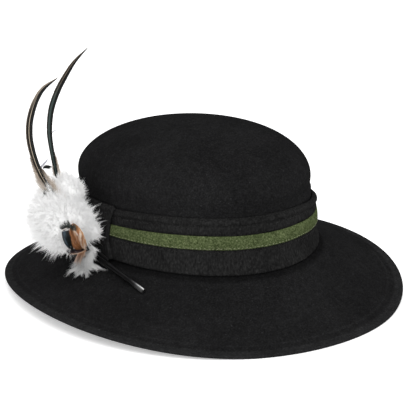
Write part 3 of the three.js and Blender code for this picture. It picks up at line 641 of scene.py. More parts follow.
def side_angle(y):
    """The angle round the crown, on the wearer's right, at a place along Y: the oval's formula reversed."""
    share = np.clip((y - crown_back) / crown_half_length, -1, 1)
    return math.pi - np.arcsin(signed_power(share, crown_squareness / 2))


def keeper_stand(height):
    """The keeper's back follows the band's face: the lower band and the green strip, then in to the upper
    band over the lower half of it."""
    share = (height - foot_height) / lower_band_height
    on_lower = np.maximum(lower_face(np.clip(share, 0, 1)), green_stand)
    above = np.clip((height - green_top - 1) / (upper_band_height - 1) * 2, 0, 1)
    return np.where(share < 1, on_lower, green_stand + (upper_stand - green_stand) * above) + band_gap


def keeper_width(height):
    """Narrowest at the waist, and wider towards both ends by the power 1.5 of the way there."""
    up = np.clip((height - keeper_waist_height) / (band_top - keeper_waist_height), 0, 1)
    down = np.clip((keeper_waist_height - height) / (keeper_waist_height - foot_height), 0, 1)
    return keeper_waist + (keeper_end_width - keeper_waist) * np.maximum(up, down) ** 1.5


tab_climb = np.linspace(0, 1, 44)[:, None]
tab_height = keeper_low + (keeper_top - keeper_low) * tab_climb
fold_turn = np.linspace(0, math.pi / 2, 9)[1:, None]
tab_backs = np.concatenate([
    keeper_stand(tab_height) + top_stand * tab_climb ** 6,
    keeper_stand(band_top) - fold_inset + fold_out * np.cos(fold_turn)])
tab_rise = np.concatenate([tab_height, keeper_top + fold_rise * np.sin(fold_turn)])
tab_lean = np.concatenate([0 * tab_height, fold_turn])
loop_across = np.concatenate([np.linspace(-1, 1, 31), np.linspace(1, -1, 31)])[None, :]
loop_out = np.concatenate([np.ones(31), np.zeros(31)])[None, :]
edge_round = np.clip(1 - np.abs(loop_across) ** 10, 0, 1) ** 0.5
edge_rib = rib_height * np.exp(-((np.abs(loop_across) - rib_place) / rib_width) ** 2)
tab_off = loop_out * (keeper_edge + (keeper_thickness - keeper_edge) * edge_round + edge_rib)
tab_y = keeper_middle + keeper_width(np.minimum(tab_rise, band_top)) / 2 * loop_across
tab_points = crown_point(side_angle(tab_y), tab_backs + tab_off * np.cos(tab_lean),
                         tab_rise + tab_off * np.sin(tab_lean))
band_keeper = surface("keeper_tab", tab_points)
finish_with(band_keeper, band_felt, "band_felt", "band_keeper")

# The marabou puff: soft white turkey down, tied by its quills on the keeper so that its locks spread over
# the hat's side. Its barbs draw together into small pointed locks; it is pressed in where it lies against
# the crown.
tie_out, tie_along, tie_height = 15.35, 4.8, 43.5
tie = crown_point(side_angle(np.array(tie_along)), tie_out, tie_height)


def from_tie(out, back_, up):
    """A place given as out from the hat's side, back and up, from the tie."""
    return tie + np.stack(np.broadcast_arrays(-np.asarray(out, float), back_, up), -1)


def unit(vectors):
    """Vectors divided by their length."""
    return vectors / (np.linalg.norm(vectors, axis=-1, keepdims=True) + 1e-9)


def strands(name, paths, thickness, tone):
    """A mesh of many fine barbs: each a tube of three sides along its path, closed at its root and drawn to
    a point, whose radius is the thickness times one less three quarters of the run, to the power 0.8. UV: x
    is the barb's own tone, y runs from root to tip."""
    count, points_each = paths.shape[:2]
    tangent = unit(np.gradient(paths, axis=1))
    guide = np.where(np.abs(tangent[..., 2:3]) > 0.9, [1.0, 0, 0], [0, 0, 1.0])
    side = unit(np.cross(tangent, guide))
    over = np.cross(side, tangent)
    corner_turn = np.arange(3) * 2 * math.pi / 3
    body = points_each - 1
    run = np.linspace(0, 1, points_each)
    radius = np.broadcast_to(thickness, (count,))[:, None] * (1 - 0.75 * run[:body]) ** 0.8
    tubes = paths[:, :body, None] + radius[..., None, None] * (
        np.cos(corner_turn)[:, None] * side[:, :body, None]
        + np.sin(corner_turn)[:, None] * over[:, :body, None])
    points = np.concatenate([tubes.reshape(count, body * 3, 3), paths[:, -1:]], 1)
    each = body * 3 + 1
    start = (np.arange(count) * each)[:, None, None]
    low = start + (np.arange(body - 1) * 3)[None, :, None]
    here, there = np.arange(3)[None, None, :], np.array([1, 2, 0])[None, None, :]
    quads = np.stack([low + here, low + there, low + 3 + there, low + 3 + here], -1)
    last = start[:, 0] + (body - 1) * 3
    tips = np.stack(np.broadcast_arrays(last + here[0], last + there[0], start[:, 0] + each - 1), -1)
    roots = start[:, 0] + np.array([2, 1, 0])
    along = np.append(np.repeat(run[:body], 3), 1.0)
    faces = quads.reshape(-1, 4).tolist() + tips.reshape(-1, 3).tolist() + roots.tolist()
    uv = np.stack([np.repeat(tone, each), np.tile(along, count)], -1)
    return new_piece(name, points.reshape(-1, 3), faces, uv)


keeper_face, keeper_side, band_face, hat_gap = 9.6, 2, 7.2, 0.4


def keep_off_hat(points):
    """Moves points that would lie in the hat out of it: outwards along X from the crown, the band and the
    keeper, and upwards from the brim."""
    height, y = points[..., 2], points[..., 1]
    on_crown = np.clip((height - dome_base) / (crown_height - dome_base), 0, 1)
    shrink = np.clip(1 - on_crown ** top_roundness, 0, 1) ** 0.5
    reach = crown_half_length * shrink + 1e-6
    across = np.clip(np.abs(y - crown_back) / reach, 0, 1)
    wall = -crown_half_width * shrink * np.sqrt(1 - across ** 2)
    tab_half = keeper_width(np.clip(height, foot_height, band_top)) / 2 + keeper_side
    on_keeper = (height < band_top + 3) & (np.abs(y - keeper_middle) < tab_half)
    stand = np.where(on_keeper, keeper_face, np.where(height < band_top + 2, band_face, 0)) + hat_gap
    limit = np.where(across < 1, wall - stand, 1e3)
    kept = points.copy()
    kept[..., 0] = np.where((points[..., 0] > limit) & (height > foot_height - 3), limit, points[..., 0])
    angle = np.arctan2((kept[..., 1] - crown_back) / crown_half_length, kept[..., 0] / crown_half_width)
    foot, rim = crown_point(angle, foot_flare, foot_height), rim_point(angle)
    run = np.linalg.norm((rim - foot)[..., :2], axis=-1)
    gone = np.linalg.norm((kept - foot)[..., :2], axis=-1)
    brim = brim_point(angle, np.clip(gone / run, 0, 1))[0][..., 2] + hat_gap
    kept[..., 2] = np.where((gone < run) & (kept[..., 2] < brim), brim, kept[..., 2])
    return kept


puff_middle = from_tie(13, 8.7, 21.8)
puff_radii = np.array([22.0, 28, 23])
parting_way = unit(np.array([-0.36, -0.9, -0.02]))
pressed_way = unit(np.array([0.64, -0.32, 0.70]))
press_depth, press_spread = 0.18, 0.3
parting_depth, parting_spread = 0.45, 0.12
heart_share, lock_share, fuzz_share = 0.88, 0.88, 0.92
lock_lean, lock_bend, lock_scatter, lock_gather, lock_barb_radius = 0.17, 0.17, 0.07, 0.85, 0.1
fuzz_lean, fuzz_bend, fuzz_barb_radius = 0.36, 0.2, 0.085


def pressed(way):
    """The share of its size that the puff keeps in a direction: a bell curve of the angle presses it in
    where it lies against the crown."""
    return 1 - press_depth * np.exp(-((1 - way @ pressed_way) / press_spread) ** 2)


def down_roots(middle, radii, count, share, draw):
    """Roots spread evenly over an ellipsoid by the golden angle; gives the places and the ways that they
    face."""
    order = np.arange(count)
    height = 1 - 2 * (order + 0.5) / count
    turn = order * math.pi * (3 - math.sqrt(5)) + draw.normal(0, 0.1, count)
    reach = np.sqrt(1 - height ** 2)
    way = np.stack([reach * np.cos(turn), reach * np.sin(turn), height], -1)
    size = share * draw.uniform(0.9, 1.04, count) * pressed(way)
    return middle + way * radii * size[:, None], way


def shorter_at(way):
    """Down is short round the parting where the small feathers lie, and where it is pressed."""
    near_parting = np.exp(-((1 - way @ parting_way) / parting_spread) ** 2)
    return (1 - parting_depth * near_parting) * pressed(way) ** 1.5


def down_locks(name, middle, radii, locks, barbs, length, spread, away_share, seed):
    """Locks: each leans between the surface's own direction and the way from the tie. Its barbs start round
    its root, draw in to its line by their run, and bend with it by the square of their run."""
    draw = np.random.default_rng(seed)
    root, way = down_roots(middle, radii, locks, lock_share, draw)
    away = unit(root - tie)
    lean = unit(way * (1 - away_share) + away * away_share + draw.normal(0, lock_lean, (locks, 3)))
    long = length * draw.uniform(0.55, 1.3, locks) * shorter_at(way)
    bend = draw.normal(0, lock_bend, (locks, 3)) * long[:, None]
    owner = np.repeat(np.arange(locks), barbs)
    count = len(owner)
    offset = unit(draw.normal(0, 1, (count, 3))) * (spread * draw.uniform(0.1, 1, count) ** 0.5)[:, None]
    run = (long[owner] * draw.uniform(0.6, 1.05, count))[:, None]
    scatter = draw.normal(0, lock_scatter, (count, 3)) * run
    t = np.linspace(0, 1, 4)[None, :, None]
    paths = (root[owner][:, None] + (lean[owner] * run)[:, None] * t + bend[owner][:, None] * t ** 2
             + offset[:, None] * (1 - lock_gather * t) + scatter[:, None] * t ** 1.5)
    radius = lock_barb_radius * draw.uniform(0.7, 1.25, count)
    return strands(name, keep_off_hat(paths), radius, draw.uniform(0, 1, count))


def down_fuzz(name, middle, radii, count, length, seed):
    """Fuzz: single short barbs that stand on the down's heart, each leaning a little at random and bent."""
    draw = np.random.default_rng(seed)
    root, way = down_roots(middle, radii, count, fuzz_share, draw)
    run = (length * draw.uniform(0.5, 1.1, count) * shorter_at(way))[:, None]
    lean = unit(way + draw.normal(0, fuzz_lean, (count, 3))) * run
    bend = draw.normal(0, fuzz_bend, (count, 3)) * run
    t = np.linspace(0, 1, 3)[None, :, None]
    paths = root[:, None] + lean[:, None] * t + bend[:, None] * t ** 2
    radius = fuzz_barb_radius * draw.uniform(0.7, 1.2, count)
    return strands(name, keep_off_hat(paths), radius, draw.uniform(0, 1, count))


def barb_finish(name, stops, root_shade=0.8, roughness=0.6, specular=0.2, sheen=0.0, tip_colour=None,
                glow=0.0):
    """Barbs whose colour goes by their own tone along a ramp of colours, is duller by the root's shade at
    the root, and fades into a colour at the tip. A faint glow stands for the light that white down lets
    through."""
    material, tree, shader = new_finish(name, roughness, specular, sheen)
    shader.inputs["Emission Color"].default_value = rgba(1)
    shader.inputs["Emission Strength"].default_value = glow
    tone, run = own_run(tree)
    own = ramp(tree, tone, stops)
    if tip_colour:
        faded = ramp(tree, run, [(0.35, 0), (0.9, 1)])
        own = blend_colours(tree, faded, own, tip_colour)
    rise = ramp(tree, run, [(0, root_shade), (0.5, 1)])
    tree.links.new(product(tree, own, rise), shader.inputs["Base Color"])
    return material


# The white down glows faintly: painted light, an emission in place of the light that real down lets through.
white_down = barb_finish("white marabou down", [
    (0.0, (0.945, 0.944, 0.944)), (0.3, (0.97, 0.969, 0.968)), (1.0, (0.98, 0.978, 0.974))],
    1.0, 0.8, 0.1, 0.5, glow=0.06)
heart_turns = np.linspace(0, 2 * math.pi, 96, endpoint=False)[None, :]
heart_climbs = np.linspace(-math.pi / 2, math.pi / 2, 62)[1:-1, None]
heart_way = np.stack(np.broadcast_arrays(
    np.cos(heart_climbs) * np.cos(heart_turns), np.cos(heart_climbs) * np.sin(heart_turns),
    np.sin(heart_climbs) + 0 * heart_turns), -1)
# Each lobe: its middle and radii, its locks with their barbs, length, spread and lean away from the tie, its
# fuzz with its length, and a seed.
puff_lobes = (
    ("marabou", puff_middle, puff_radii, 1400, 7, 10.8, 1.3, 0.38, 17500, 5.6, 21),
    ("marabou_upper", puff_middle + [5.5, 0.2, 19.6], np.array([11.5, 11.5, 10.5]),
     300, 7, 8.5, 1.2, 0.75, 3400, 5.0, 24),
    ("marabou_side", from_tie(-2, -8.3, 14.4), np.array([5, 6.5, 6]), 130, 7, 6.0, 1.0, 0.4, 1000, 3.8, 27))
for lobe, middle, radii, locks, barbs, length, spread, away, fuzz_barbs, fuzz_length, seed in puff_lobes:
    heart_points = middle + heart_way * radii * heart_share * pressed(heart_way)[..., None]
    for piece in (surface(lobe + "_heart", keep_off_hat(heart_points)),
                  down_locks(lobe + "_locks", middle, radii, locks, barbs, length, spread, away, seed),
                  down_fuzz(lobe + "_fuzz", middle, radii, fuzz_barbs, fuzz_length, seed + 1)):
        finish_with(piece, white_down, "white_down", "marabou_plume")

# The sickle feathers: two long, narrow tail coverts of a cock, greenish black with a pale shaft, that rise
# from the tie through the puff and curve forward. Both have fluffy beige down at their base.
sickle_width, sickle_turn = 4.1, math.radians(-70.7)
forward = np.array([math.cos(sickle_turn), math.sin(sickle_turn), 0])
sickle_right = dict(
    height=100.6, sweep=32.5, base=(10.9, 14.5, 46.5), start=(-2, 3.5, 5),
    rise=[0, 0.115, 0.22, 0.33, 0.43, 0.54, 0.67, 0.8, 0.895, 1],
    lean=[-0.01, -0.12, -0.19, -0.235, -0.215, -0.13, 0.075, 0.365, 0.62, 1],
    width=[0.95, 1.05, 1.15, 1.25, 1.3, 1.3, 1.2, 0.98, 0.64, 0.08])
sickle_left = dict(
    height=84.5, sweep=20, base=(19.9, 8.5, 41.5), start=(1.5, 3, 3),
    rise=[0, 0.12, 0.25, 0.4, 0.52, 0.637, 0.777, 0.892, 1],
    lean=[0, -0.46, -0.78, -0.975, -0.99, -0.875, -0.585, -0.165, 0.54],
    width=[1.2, 1.4, 1.6, 1.68, 1.62, 1.5, 1.2, 0.8, 0.08])


def smooth_run(points, count):
    """A smooth curve through points, Catmull and Rom's cubic, at evenly spaced parameters."""
    points = np.asarray(points, float)
    padded = np.concatenate([2 * points[:1] - points[1:2], points, 2 * points[-1:] - points[-2:-1]])
    at = np.linspace(0, len(points) - 1, count)
    low = np.minimum(at.astype(int), len(points) - 2)
    t = (at - low).reshape(-1, *[1] * (points.ndim - 1))
    a, b, c, d = (padded[low + k] for k in range(4))
    square, cube = 2 * a - 5 * b + 4 * c - d, 3 * b - a - 3 * c + d
    return 0.5 * (2 * b + (c - a) * t + square * t ** 2 + cube * t ** 3)


def sickle_path(feather, count):
    """The shaft's line: a straight climb through the puff, then the feather's curve in one upright plane;
    gives the points and the share of sickle_width at each."""
    base, start = from_tie(*feather["base"]), from_tie(*feather["start"])
    lean, rise = np.array(feather["lean"])[:, None], np.array(feather["rise"])[:, None]
    curve = base + forward * lean * feather["sweep"] + np.array([0, 0, 1]) * rise * feather["height"]
    points = np.concatenate([[start, (start + base) / 2 + forward], curve])
    widths = np.concatenate([[0.3, 0.4], feather["width"]])
    return smooth_run(points, count), smooth_run(widths, count)


def blade_frame(points, facing):
    """Directions along, across and off a blade that faces one way."""
    along = unit(np.gradient(points, axis=0))
    across = unit(np.cross(facing, along))
    return along, across, np.cross(along, across)


vane_thickness, shaft_spread = 0.22, 0.11
vane_places = np.array([-1, -0.8, -0.55, -0.3, -0.14, -0.07, 0, 0.07, 0.14, 0.3, 0.55, 0.8, 1])


def feather_blade(name, points, widths, facing, shaft_radius, vee, seed, ragged):
    """A vaned feather: a closed section of two thin vanes with a round shaft between them, carried along the
    shaft's line and thinner where it narrows. The vanes' edges are a little ragged by random steps, and the
    vanes lift in a shallow vee."""
    draw = np.random.default_rng(seed)
    across, off = blade_frame(points, facing)[1:]
    shaft = shaft_radius * np.exp(-(vane_places / shaft_spread) ** 2)
    edge = 1 + ragged * draw.normal(0, 1, (len(points), 1)) * (np.abs(vane_places) > 0.9)
    half = widths[:, None] / 2 * vane_places * edge
    thinned = np.clip(widths / widths.max(), 0.1, 1)[:, None]
    lift = vee * np.abs(half)
    top = lift + (vane_thickness / 2 + shaft) * thinned
    under = lift - (vane_thickness / 2 + shaft * 0.8) * thinned
    loop_half = np.concatenate([half, half[:, ::-1]], 1)
    loop_off = np.concatenate([top, under[:, ::-1]], 1)
    grid = points[:, None] + across[:, None] * loop_half[..., None] + off[:, None] * loop_off[..., None]
    return surface(name, grid, across=np.concatenate([vane_places, vane_places[::-1]]) / 2 + 0.5)


def vane_finish(name, across_stops, base, base_end, gloss, contrast=0.35, specular=0.07, tip_stops=None,
                tip_from=1.0):
    """A feather's vane by its own UV: colours across it from edge to edge, other ones towards its tip, fine
    slanting barbs, and another colour towards its base."""
    material, tree, shader = new_finish(name, gloss, specular)
    across, along = own_run(tree)
    colours = ramp(tree, across, across_stops)
    if tip_stops:
        near_tip = ramp(tree, along, [(tip_from, 0), (tip_from + 0.12, 1)])
        colours = blend_colours(tree, near_tip, colours, ramp(tree, across, tip_stops))
    barbs = noise(tree, tree.nodes.new("ShaderNodeTexCoord").outputs["UV"], 60, 3, (0.25, 9, 1))
    barb_light = ramp(tree, barbs, [(0.35, 1 - contrast), (0.65, 1 + contrast)])
    lined = product(tree, colours, barb_light)
    at_base = ramp(tree, along, [(0, 1), (base_end * 0.6, 0.7), (base_end, 0)])
    tree.links.new(blend_colours(tree, at_base, lined, base), shader.inputs["Base Color"])
    add_bump(tree, shader, barbs, 0.3, 0.0003)
    return material


facing_sickle = np.cross(forward, [0, 0, 1.0])
black_vane, cream = (0.004, 0.0045, 0.004), (0.62, 0.52, 0.4)
left_vane = vane_finish("pale edged black vane", [
    (0.0, (0.01, 0.008, 0.006)), (0.1, black_vane), (0.46, black_vane), (0.5, (0.05, 0.04, 0.03)),
    (0.53, cream), (0.57, cream), (0.61, (0.015, 0.012, 0.009)), (0.8, (0.01, 0.009, 0.007)),
    (0.88, (0.03, 0.024, 0.018)), (0.94, (0.14, 0.11, 0.085)), (1.0, (0.2, 0.16, 0.12))],
    (0.06, 0.05, 0.04), 0.05, 0.4, tip_from=0.72, tip_stops=[
        (0.0, black_vane), (0.56, black_vane), (0.64, (0.02, 0.016, 0.012)), (0.72, (0.36, 0.31, 0.25)),
        (0.8, (0.05, 0.04, 0.03)), (0.88, (0.3, 0.25, 0.2)), (1.0, (0.3, 0.25, 0.2))])
# The paler teal across the middle of the greenish black vane is partly the feather's own green and partly
# painted sheen.
right_vane = vane_finish("greenish black vane", [
    (0.0, black_vane), (0.32, black_vane), (0.42, (0.016, 0.024, 0.022)), (0.5, (0.036, 0.052, 0.048)),
    (0.62, (0.05, 0.07, 0.064)), (0.74, (0.034, 0.046, 0.042)), (0.82, (0.008, 0.01, 0.009)),
    (0.92, (0.008, 0.008, 0.007)), (0.97, (0.09, 0.075, 0.055)), (1.0, (0.14, 0.12, 0.09))],
    (0.05, 0.045, 0.035), 0.05, 0.38, tip_from=0.66, tip_stops=[
        (0.0, black_vane), (0.5, black_vane), (0.56, (0.02, 0.016, 0.012)), (0.62, (0.24, 0.19, 0.14)),
        (0.67, (0.015, 0.012, 0.009)), (0.85, (0.012, 0.01, 0.008)), (0.93, (0.12, 0.1, 0.08)),
        (1.0, (0.2, 0.17, 0.13))])
left_line, left_shares = sickle_path(sickle_left, 150)
right_line, right_shares = sickle_path(sickle_right, 150)
for sickle, line, shares, vane, seed, node in (
        ("sickle_right", right_line, right_shares, right_vane, 31, "sickle_feather_right"),
        ("sickle_left", left_line, left_shares, left_vane, 32, "sickle_feather_left")):
    blade = feather_blade(sickle, line, sickle_width * shares, facing_sickle, 0.3, 0.12, seed, 0.02)
    finish_with(blade, vane, "dark_feather", node)

barbs_behind = 0.5


def side_barbs(line, first, last, count, length, angle, widen, seed, sides, edge):
    """Loose barbs that leave a sickle feather sideways: each starts at an edge's distance from the shaft and
    a little behind it, turns away by its angle, which widens towards the feather's base while the barb gets
    longer, and curls along the shaft by the square of its run. Gives paths and tones."""
    draw = np.random.default_rng(seed)
    place = draw.uniform(0, 1, count)
    at = (first + (last - first) * place) * (len(line) - 1)
    low = np.minimum(at.astype(int), len(line) - 2)
    start = line[low] + (line[low + 1] - line[low]) * (at - low)[:, None]
    along, across, off = (way[low] for way in blade_frame(line, facing_sickle))
    side = draw.choice(sides, count)
    turn = (angle + widen * (1 - place)) * draw.uniform(0.75, 1.2, count)
    run = (length * (1.15 - 0.75 * place) * draw.uniform(0.6, 1.05, count))[:, None]
    t = np.linspace(0, 1, 4)[None, :, None]
    way = across * (side * np.sin(turn))[:, None] + along * np.cos(turn)[:, None]
    way = way + off * draw.normal(0, 0.12, count)[:, None]
    curled = (along * draw.uniform(-0.05, 0.25, count)[:, None] + draw.normal(0, 0.06, (count, 3))) * run
    start = start + across * (side * edge * draw.uniform(0.4, 1.1, count))[:, None]
    start = start - facing_sickle * barbs_behind
    paths = start[:, None] + (way * run)[:, None] * t + curled[:, None] * t ** 2
    tone = np.clip(0.75 - turn / (angle + widen) * 0.8 + 0.35 * place + draw.normal(0, 0.14, count), 0, 1)
    return paths, tone


beige_down = barb_finish("beige down", [
    (0, (0.8, 0.75, 0.7)), (0.35, (0.66, 0.58, 0.5)), (0.6, (0.45, 0.37, 0.3)), (0.85, (0.25, 0.19, 0.14)),
    (1, (0.1, 0.075, 0.055))])
for base_name, line, first, last, count, length, turn, widen, sides, seed, edge in (
        ("sickle_left_down_outer", left_line, 0.1, 0.4, 2300, 15.0, 0.17, 0.42, (1,), 41, 2.8),
        ("sickle_left_down_inner", left_line, 0.08, 0.31, 1500, 13.0, 0.22, 0.6, (-1,), 42, 2.0),
        ("sickle_right_down", right_line, 0.12, 0.33, 1000, 9.0, 0.14, 0.4, (1, 1, -1), 43, 1.6)):
    paths, tone = side_barbs(line, first, last, count, length, turn, widen, seed, sides, edge)
    finish_with(strands(base_name, keep_off_hat(paths), 0.11, tone), beige_down, "dark_feather")

# The small feathers laid over the puff at the tie: an orange-brown covert, a glossy blue-black one beside it
# with a dark fan at its top, and a second brown one that hangs below the tie, with pale barbs crossed over
# them.
small_stand, barb_stand = 1.14, 1.2
outward_side = unit(np.array([-0.55, -0.83, 0.1]))


def near_tie(*places):
    """Places given as out, back and up from the tie."""
    return [from_tie(*place) for place in places]


def shares_of_puff(*directions, stand=barb_stand):
    """Places on a larger puff, from directions given as shares of its radii."""
    return puff_middle + unit(np.array(directions, float)) * puff_radii * stand


def on_puff(directions, count):
    """A line on the puff through directions from its middle, given as shares of its radii; gives the points
    and the puff's own direction at each."""
    way = unit(smooth_run(directions, count))
    return puff_middle + way * puff_radii * small_stand, unit(way / puff_radii)


def barb_fan(name, roots, tips, count, bow, scatter, thin, seed, paint, slot_name, tones=(0, 1), bundles=0,
             curl=0.0, bends=5, gather=0.75, sweep=(0, 0, 0)):
    """Barbs from a line of roots to a line of tips, matched by their share of both lines: each bows off the
    straight way by a parabola on the trim's outward side and by a sweep, most of it at the first root, with
    a random wave, and a random scatter that grows towards its tip. Where there are bundles, the shares gather
    round that many middles, and each bundle has a reach, a tone and a curl of its own, by the cube of the
    run."""
    draw = np.random.default_rng(seed)
    share = draw.uniform(0, 1, count)
    gathered, own_reach, own_curl, own_tone = share, 1.0, np.zeros((count, 3)), 0.0
    if bundles:
        bundle = np.minimum((share * bundles).astype(int), bundles - 1)
        gathered = share + ((bundle + 0.5) / bundles - share) * gather
        own_reach = draw.uniform(0.78, 1.08, bundles)[bundle]
        own_curl = draw.normal(0, curl, (bundles, 3))[bundle]
        own_tone = draw.normal(0, 0.17, bundles)[bundle]
    way = np.linspace(0, 1, 101)
    start, end = (np.stack([np.interp(s, way, smooth_run(line, 101)[:, k]) for k in range(3)], -1)
                  for s, line in ((share, roots), (gathered, tips)))
    start = start + draw.normal(0, scatter * 0.35, (count, 3))
    end = start + (end - start) * (own_reach * draw.uniform(0.72, 1.08, count))[:, None]
    end = end + draw.normal(0, scatter, (count, 3))
    t = np.linspace(0, 1, bends)[None, :, None]
    wave = draw.normal(0, scatter * 0.6, (count, 3))[:, None] * np.sin(math.pi * 1.5 * t)
    height = (bow * draw.uniform(0.7, 1.3, count))[:, None, None] * 4 * t * (1 - t)
    aside = np.array(sweep) * (1 - 0.6 * share[:, None, None]) * 4 * t * (1 - t)
    paths = start[:, None] * (1 - t) + end[:, None] * t + outward_side * height + aside
    paths = paths + wave + own_curl[:, None] * t ** 3
    tone = np.clip(tones[0] + (tones[1] - tones[0]) * share + own_tone + draw.normal(0, 0.08, count), 0, 1)
    radius = thin * draw.uniform(0.7, 1.2, count)
    finish_with(strands(name, keep_off_hat(paths), radius, tone), paint, slot_name)


brown_line, brown_facing = on_puff([
    (0.16, -0.7, -0.7), (-0.07, -0.92, -0.38), (-0.19, -0.97, -0.14), (-0.26, -0.96, 0.04),
    (-0.31, -0.93, 0.17)], 60)
blue_line, blue_facing = on_puff([
    (-0.25, -0.78, -0.58), (-0.38, -0.85, -0.37), (-0.45, -0.88, -0.18), (-0.48, -0.87, -0.01)], 60)
brown_widths = smooth_run([6.5, 8.4, 8.6, 6.6, 3.0], 60)
blue_widths = smooth_run([4.0, 6.0, 6.4, 5.4], 60)
lower_line = smooth_run(
    near_tie((3.8, -9.2, -0.4), (6.5, -8.6, -3.4), (9.4, -7.8, -6.8), (11.6, -7.2, -9.3)), 50)
lower_widths = smooth_run([4.5, 6, 5, 2.5], 50)
brown_vane = vane_finish("orange-brown vane", [
    (0.0, (0.62, 0.36, 0.2)), (0.25, (0.4, 0.17, 0.07)), (0.5, (0.3, 0.12, 0.045)), (0.72, (0.1, 0.04, 0.02)),
    (0.85, (0.03, 0.014, 0.009)), (1.0, (0.012, 0.007, 0.005))],
    (0.3, 0.13, 0.06), 0.12, 0.5, 0.3, tip_from=0.62, tip_stops=[
        (0.0, (0.3, 0.15, 0.07)), (0.35, (0.1, 0.05, 0.025)), (0.6, (0.02, 0.012, 0.008)), (1.0, black_vane)])
# The slate-blue band across the middle of the blue-black vane is a painted highlight of its gloss.
blue_vane = vane_finish("blue-black vane", [
    (0.0, (0.004, 0.004, 0.005)), (0.35, (0.005, 0.006, 0.008)), (0.5, (0.016, 0.026, 0.036)),
    (0.62, (0.034, 0.056, 0.075)), (0.8, (0.028, 0.044, 0.058)), (0.9, (0.008, 0.01, 0.013)),
    (1.0, (0.004, 0.004, 0.005))], (0.006, 0.007, 0.008), 0.3, 0.32, 0.15, 0.25)
lower_vane = vane_finish("brown vane below the tie", [
    (0.0, (0.05, 0.022, 0.014)), (0.3, (0.16, 0.075, 0.045)), (0.6, (0.3, 0.16, 0.1)),
    (1.0, (0.45, 0.33, 0.26))],
    (0.3, 0.14, 0.07), 0.3, 0.5, 0.3)
for feather, line, widths, facing, vee, seed, ragged, vane, slot_name, node in (
        ("small_feather_brown", brown_line, brown_widths, brown_facing, -0.1, 51, 0.05, brown_vane,
         "brown_feather", "brown_feather"),
        ("small_feather_blue_black", blue_line, blue_widths, blue_facing, -0.16, 52, 0.03, blue_vane,
         "blue_black_feather", "blue_black_feather"),
        ("small_feather_lower", lower_line, lower_widths, outward_side, -0.1, 53, 0.05, lower_vane,
         "brown_feather", "brown_feather_lower")):
    blade = feather_blade(feather, line, widths, facing, 0.12, vee, seed, ragged)
    finish_with(blade, vane, slot_name, node)
brown_barbs = barb_finish("orange-brown barbs", [
    (0, (0.008, 0.005, 0.004)), (0.12, (0.03, 0.014, 0.009)), (0.22, (0.14, 0.055, 0.025)),
    (0.34, (0.4, 0.16, 0.06)), (0.44, (0.18, 0.07, 0.03)), (0.54, (0.5, 0.22, 0.09)),
    (0.64, (0.28, 0.11, 0.045)), (0.76, (0.56, 0.29, 0.14)), (0.88, (0.66, 0.42, 0.27)),
    (1, (0.88, 0.74, 0.62))],
    0.55, 0.45)
faded_barbs = barb_finish("faded brown barbs", [
    (0, (0.12, 0.05, 0.025)), (0.35, (0.42, 0.18, 0.075)), (0.5, (0.25, 0.1, 0.045)),
    (0.7, (0.55, 0.28, 0.14)), (1, (0.72, 0.5, 0.36))], 0.8, 0.5, tip_colour=(0.62, 0.5, 0.43))
dark_barbs = barb_finish("dark barbs", [
    (0, (0.004, 0.005, 0.004)), (0.6, (0.02, 0.025, 0.022)), (1, (0.1, 0.11, 0.1))], 0.8, 0.4)
purple_barbs = barb_finish("dark purple-brown barbs", [
    (0, (0.006, 0.004, 0.006)), (0.6, (0.02, 0.011, 0.014)), (1, (0.07, 0.035, 0.035))], 0.8, 0.5)
pale_barbs = barb_finish("pale crossed barbs", [
    (0, (0.4, 0.3, 0.24)), (0.5, (0.55, 0.49, 0.45)), (1, (0.75, 0.72, 0.7))], 0.9, 0.5)
crossed_barbs = barb_finish("crossed barbs", [(0, (0.5, 0.32, 0.2)), (1, (0.62, 0.45, 0.34))], 1.1, 0.5)
cream_and_highlight_barbs = barb_finish("cream barbs", [(0, (0.62, 0.42, 0.28)), (1, (0.9, 0.8, 0.7))], 0.9, 0.5)
barb_fan("brown_feather_barbs",
         shares_of_puff((0.04, -0.82, -0.57), (0.14, -0.77, -0.63), (0.25, -0.7, -0.67)),
         shares_of_puff((-0.2, -0.88, -0.43), (-0.31, -0.92, -0.24), (-0.36, -0.93, 0.01),
                        (-0.38, -0.91, 0.17), (-0.3, -0.93, 0.21), (-0.19, -0.98, 0.08),
                        (-0.07, -0.99, -0.13), (0.05, -0.93, -0.36)),
         1300, 3.7, 0.3, 0.1, 61, brown_barbs, "brown_feather", tones=(0.12, 1.0), bundles=17, curl=0.3,
         bends=6, gather=0.8, sweep=(-1.9, 1.2, -0.9))
# The cream streaks on the orange-brown feather are partly its pale barbs and partly painted highlight.
barb_fan("cream_and_highlight_streaks", shares_of_puff((-0.24, -0.965, -0.11), (-0.17, -0.975, -0.14), stand=1.225),
         shares_of_puff((-0.35, -0.935, 0.08), (-0.26, -0.96, 0.07), stand=1.235),
         18, 0.9, 0.3, 0.07, 62, cream_and_highlight_barbs, "brown_feather", bundles=4)
barb_fan("dark_fan", shares_of_puff((-0.51, -0.86, 0.03), (-0.42, -0.9, 0.08), (-0.34, -0.93, 0.09)),
         shares_of_puff((-0.6, -0.79, 0.08), (-0.55, -0.81, 0.19), (-0.44, -0.86, 0.27), (-0.35, -0.9, 0.26)),
         210, 0.7, 0.45, 0.12, 63, dark_barbs, "blue_black_feather", bundles=7, curl=0.5)
barb_fan("dark_barbs_at_top", shares_of_puff((-0.34, -0.93, 0.03), (-0.24, -0.965, -0.0), stand=1.23),
         shares_of_puff((-0.36, -0.9, 0.25), (-0.24, -0.94, 0.2)), 70, 0.4, 0.25, 0.1, 76, dark_barbs,
         "brown_feather", bundles=5, curl=0.4)
barb_fan("pale_line_under_fan", shares_of_puff((-0.44, -0.89, 0.105), (-0.44, -0.89, 0.09), stand=1.25),
         shares_of_puff((-0.585, -0.81, 0.045), (-0.58, -0.81, 0.03), stand=1.25), 14, 0.3, 0.12, 0.13, 69,
         pale_barbs, "blue_black_feather", tones=(0.6, 1))
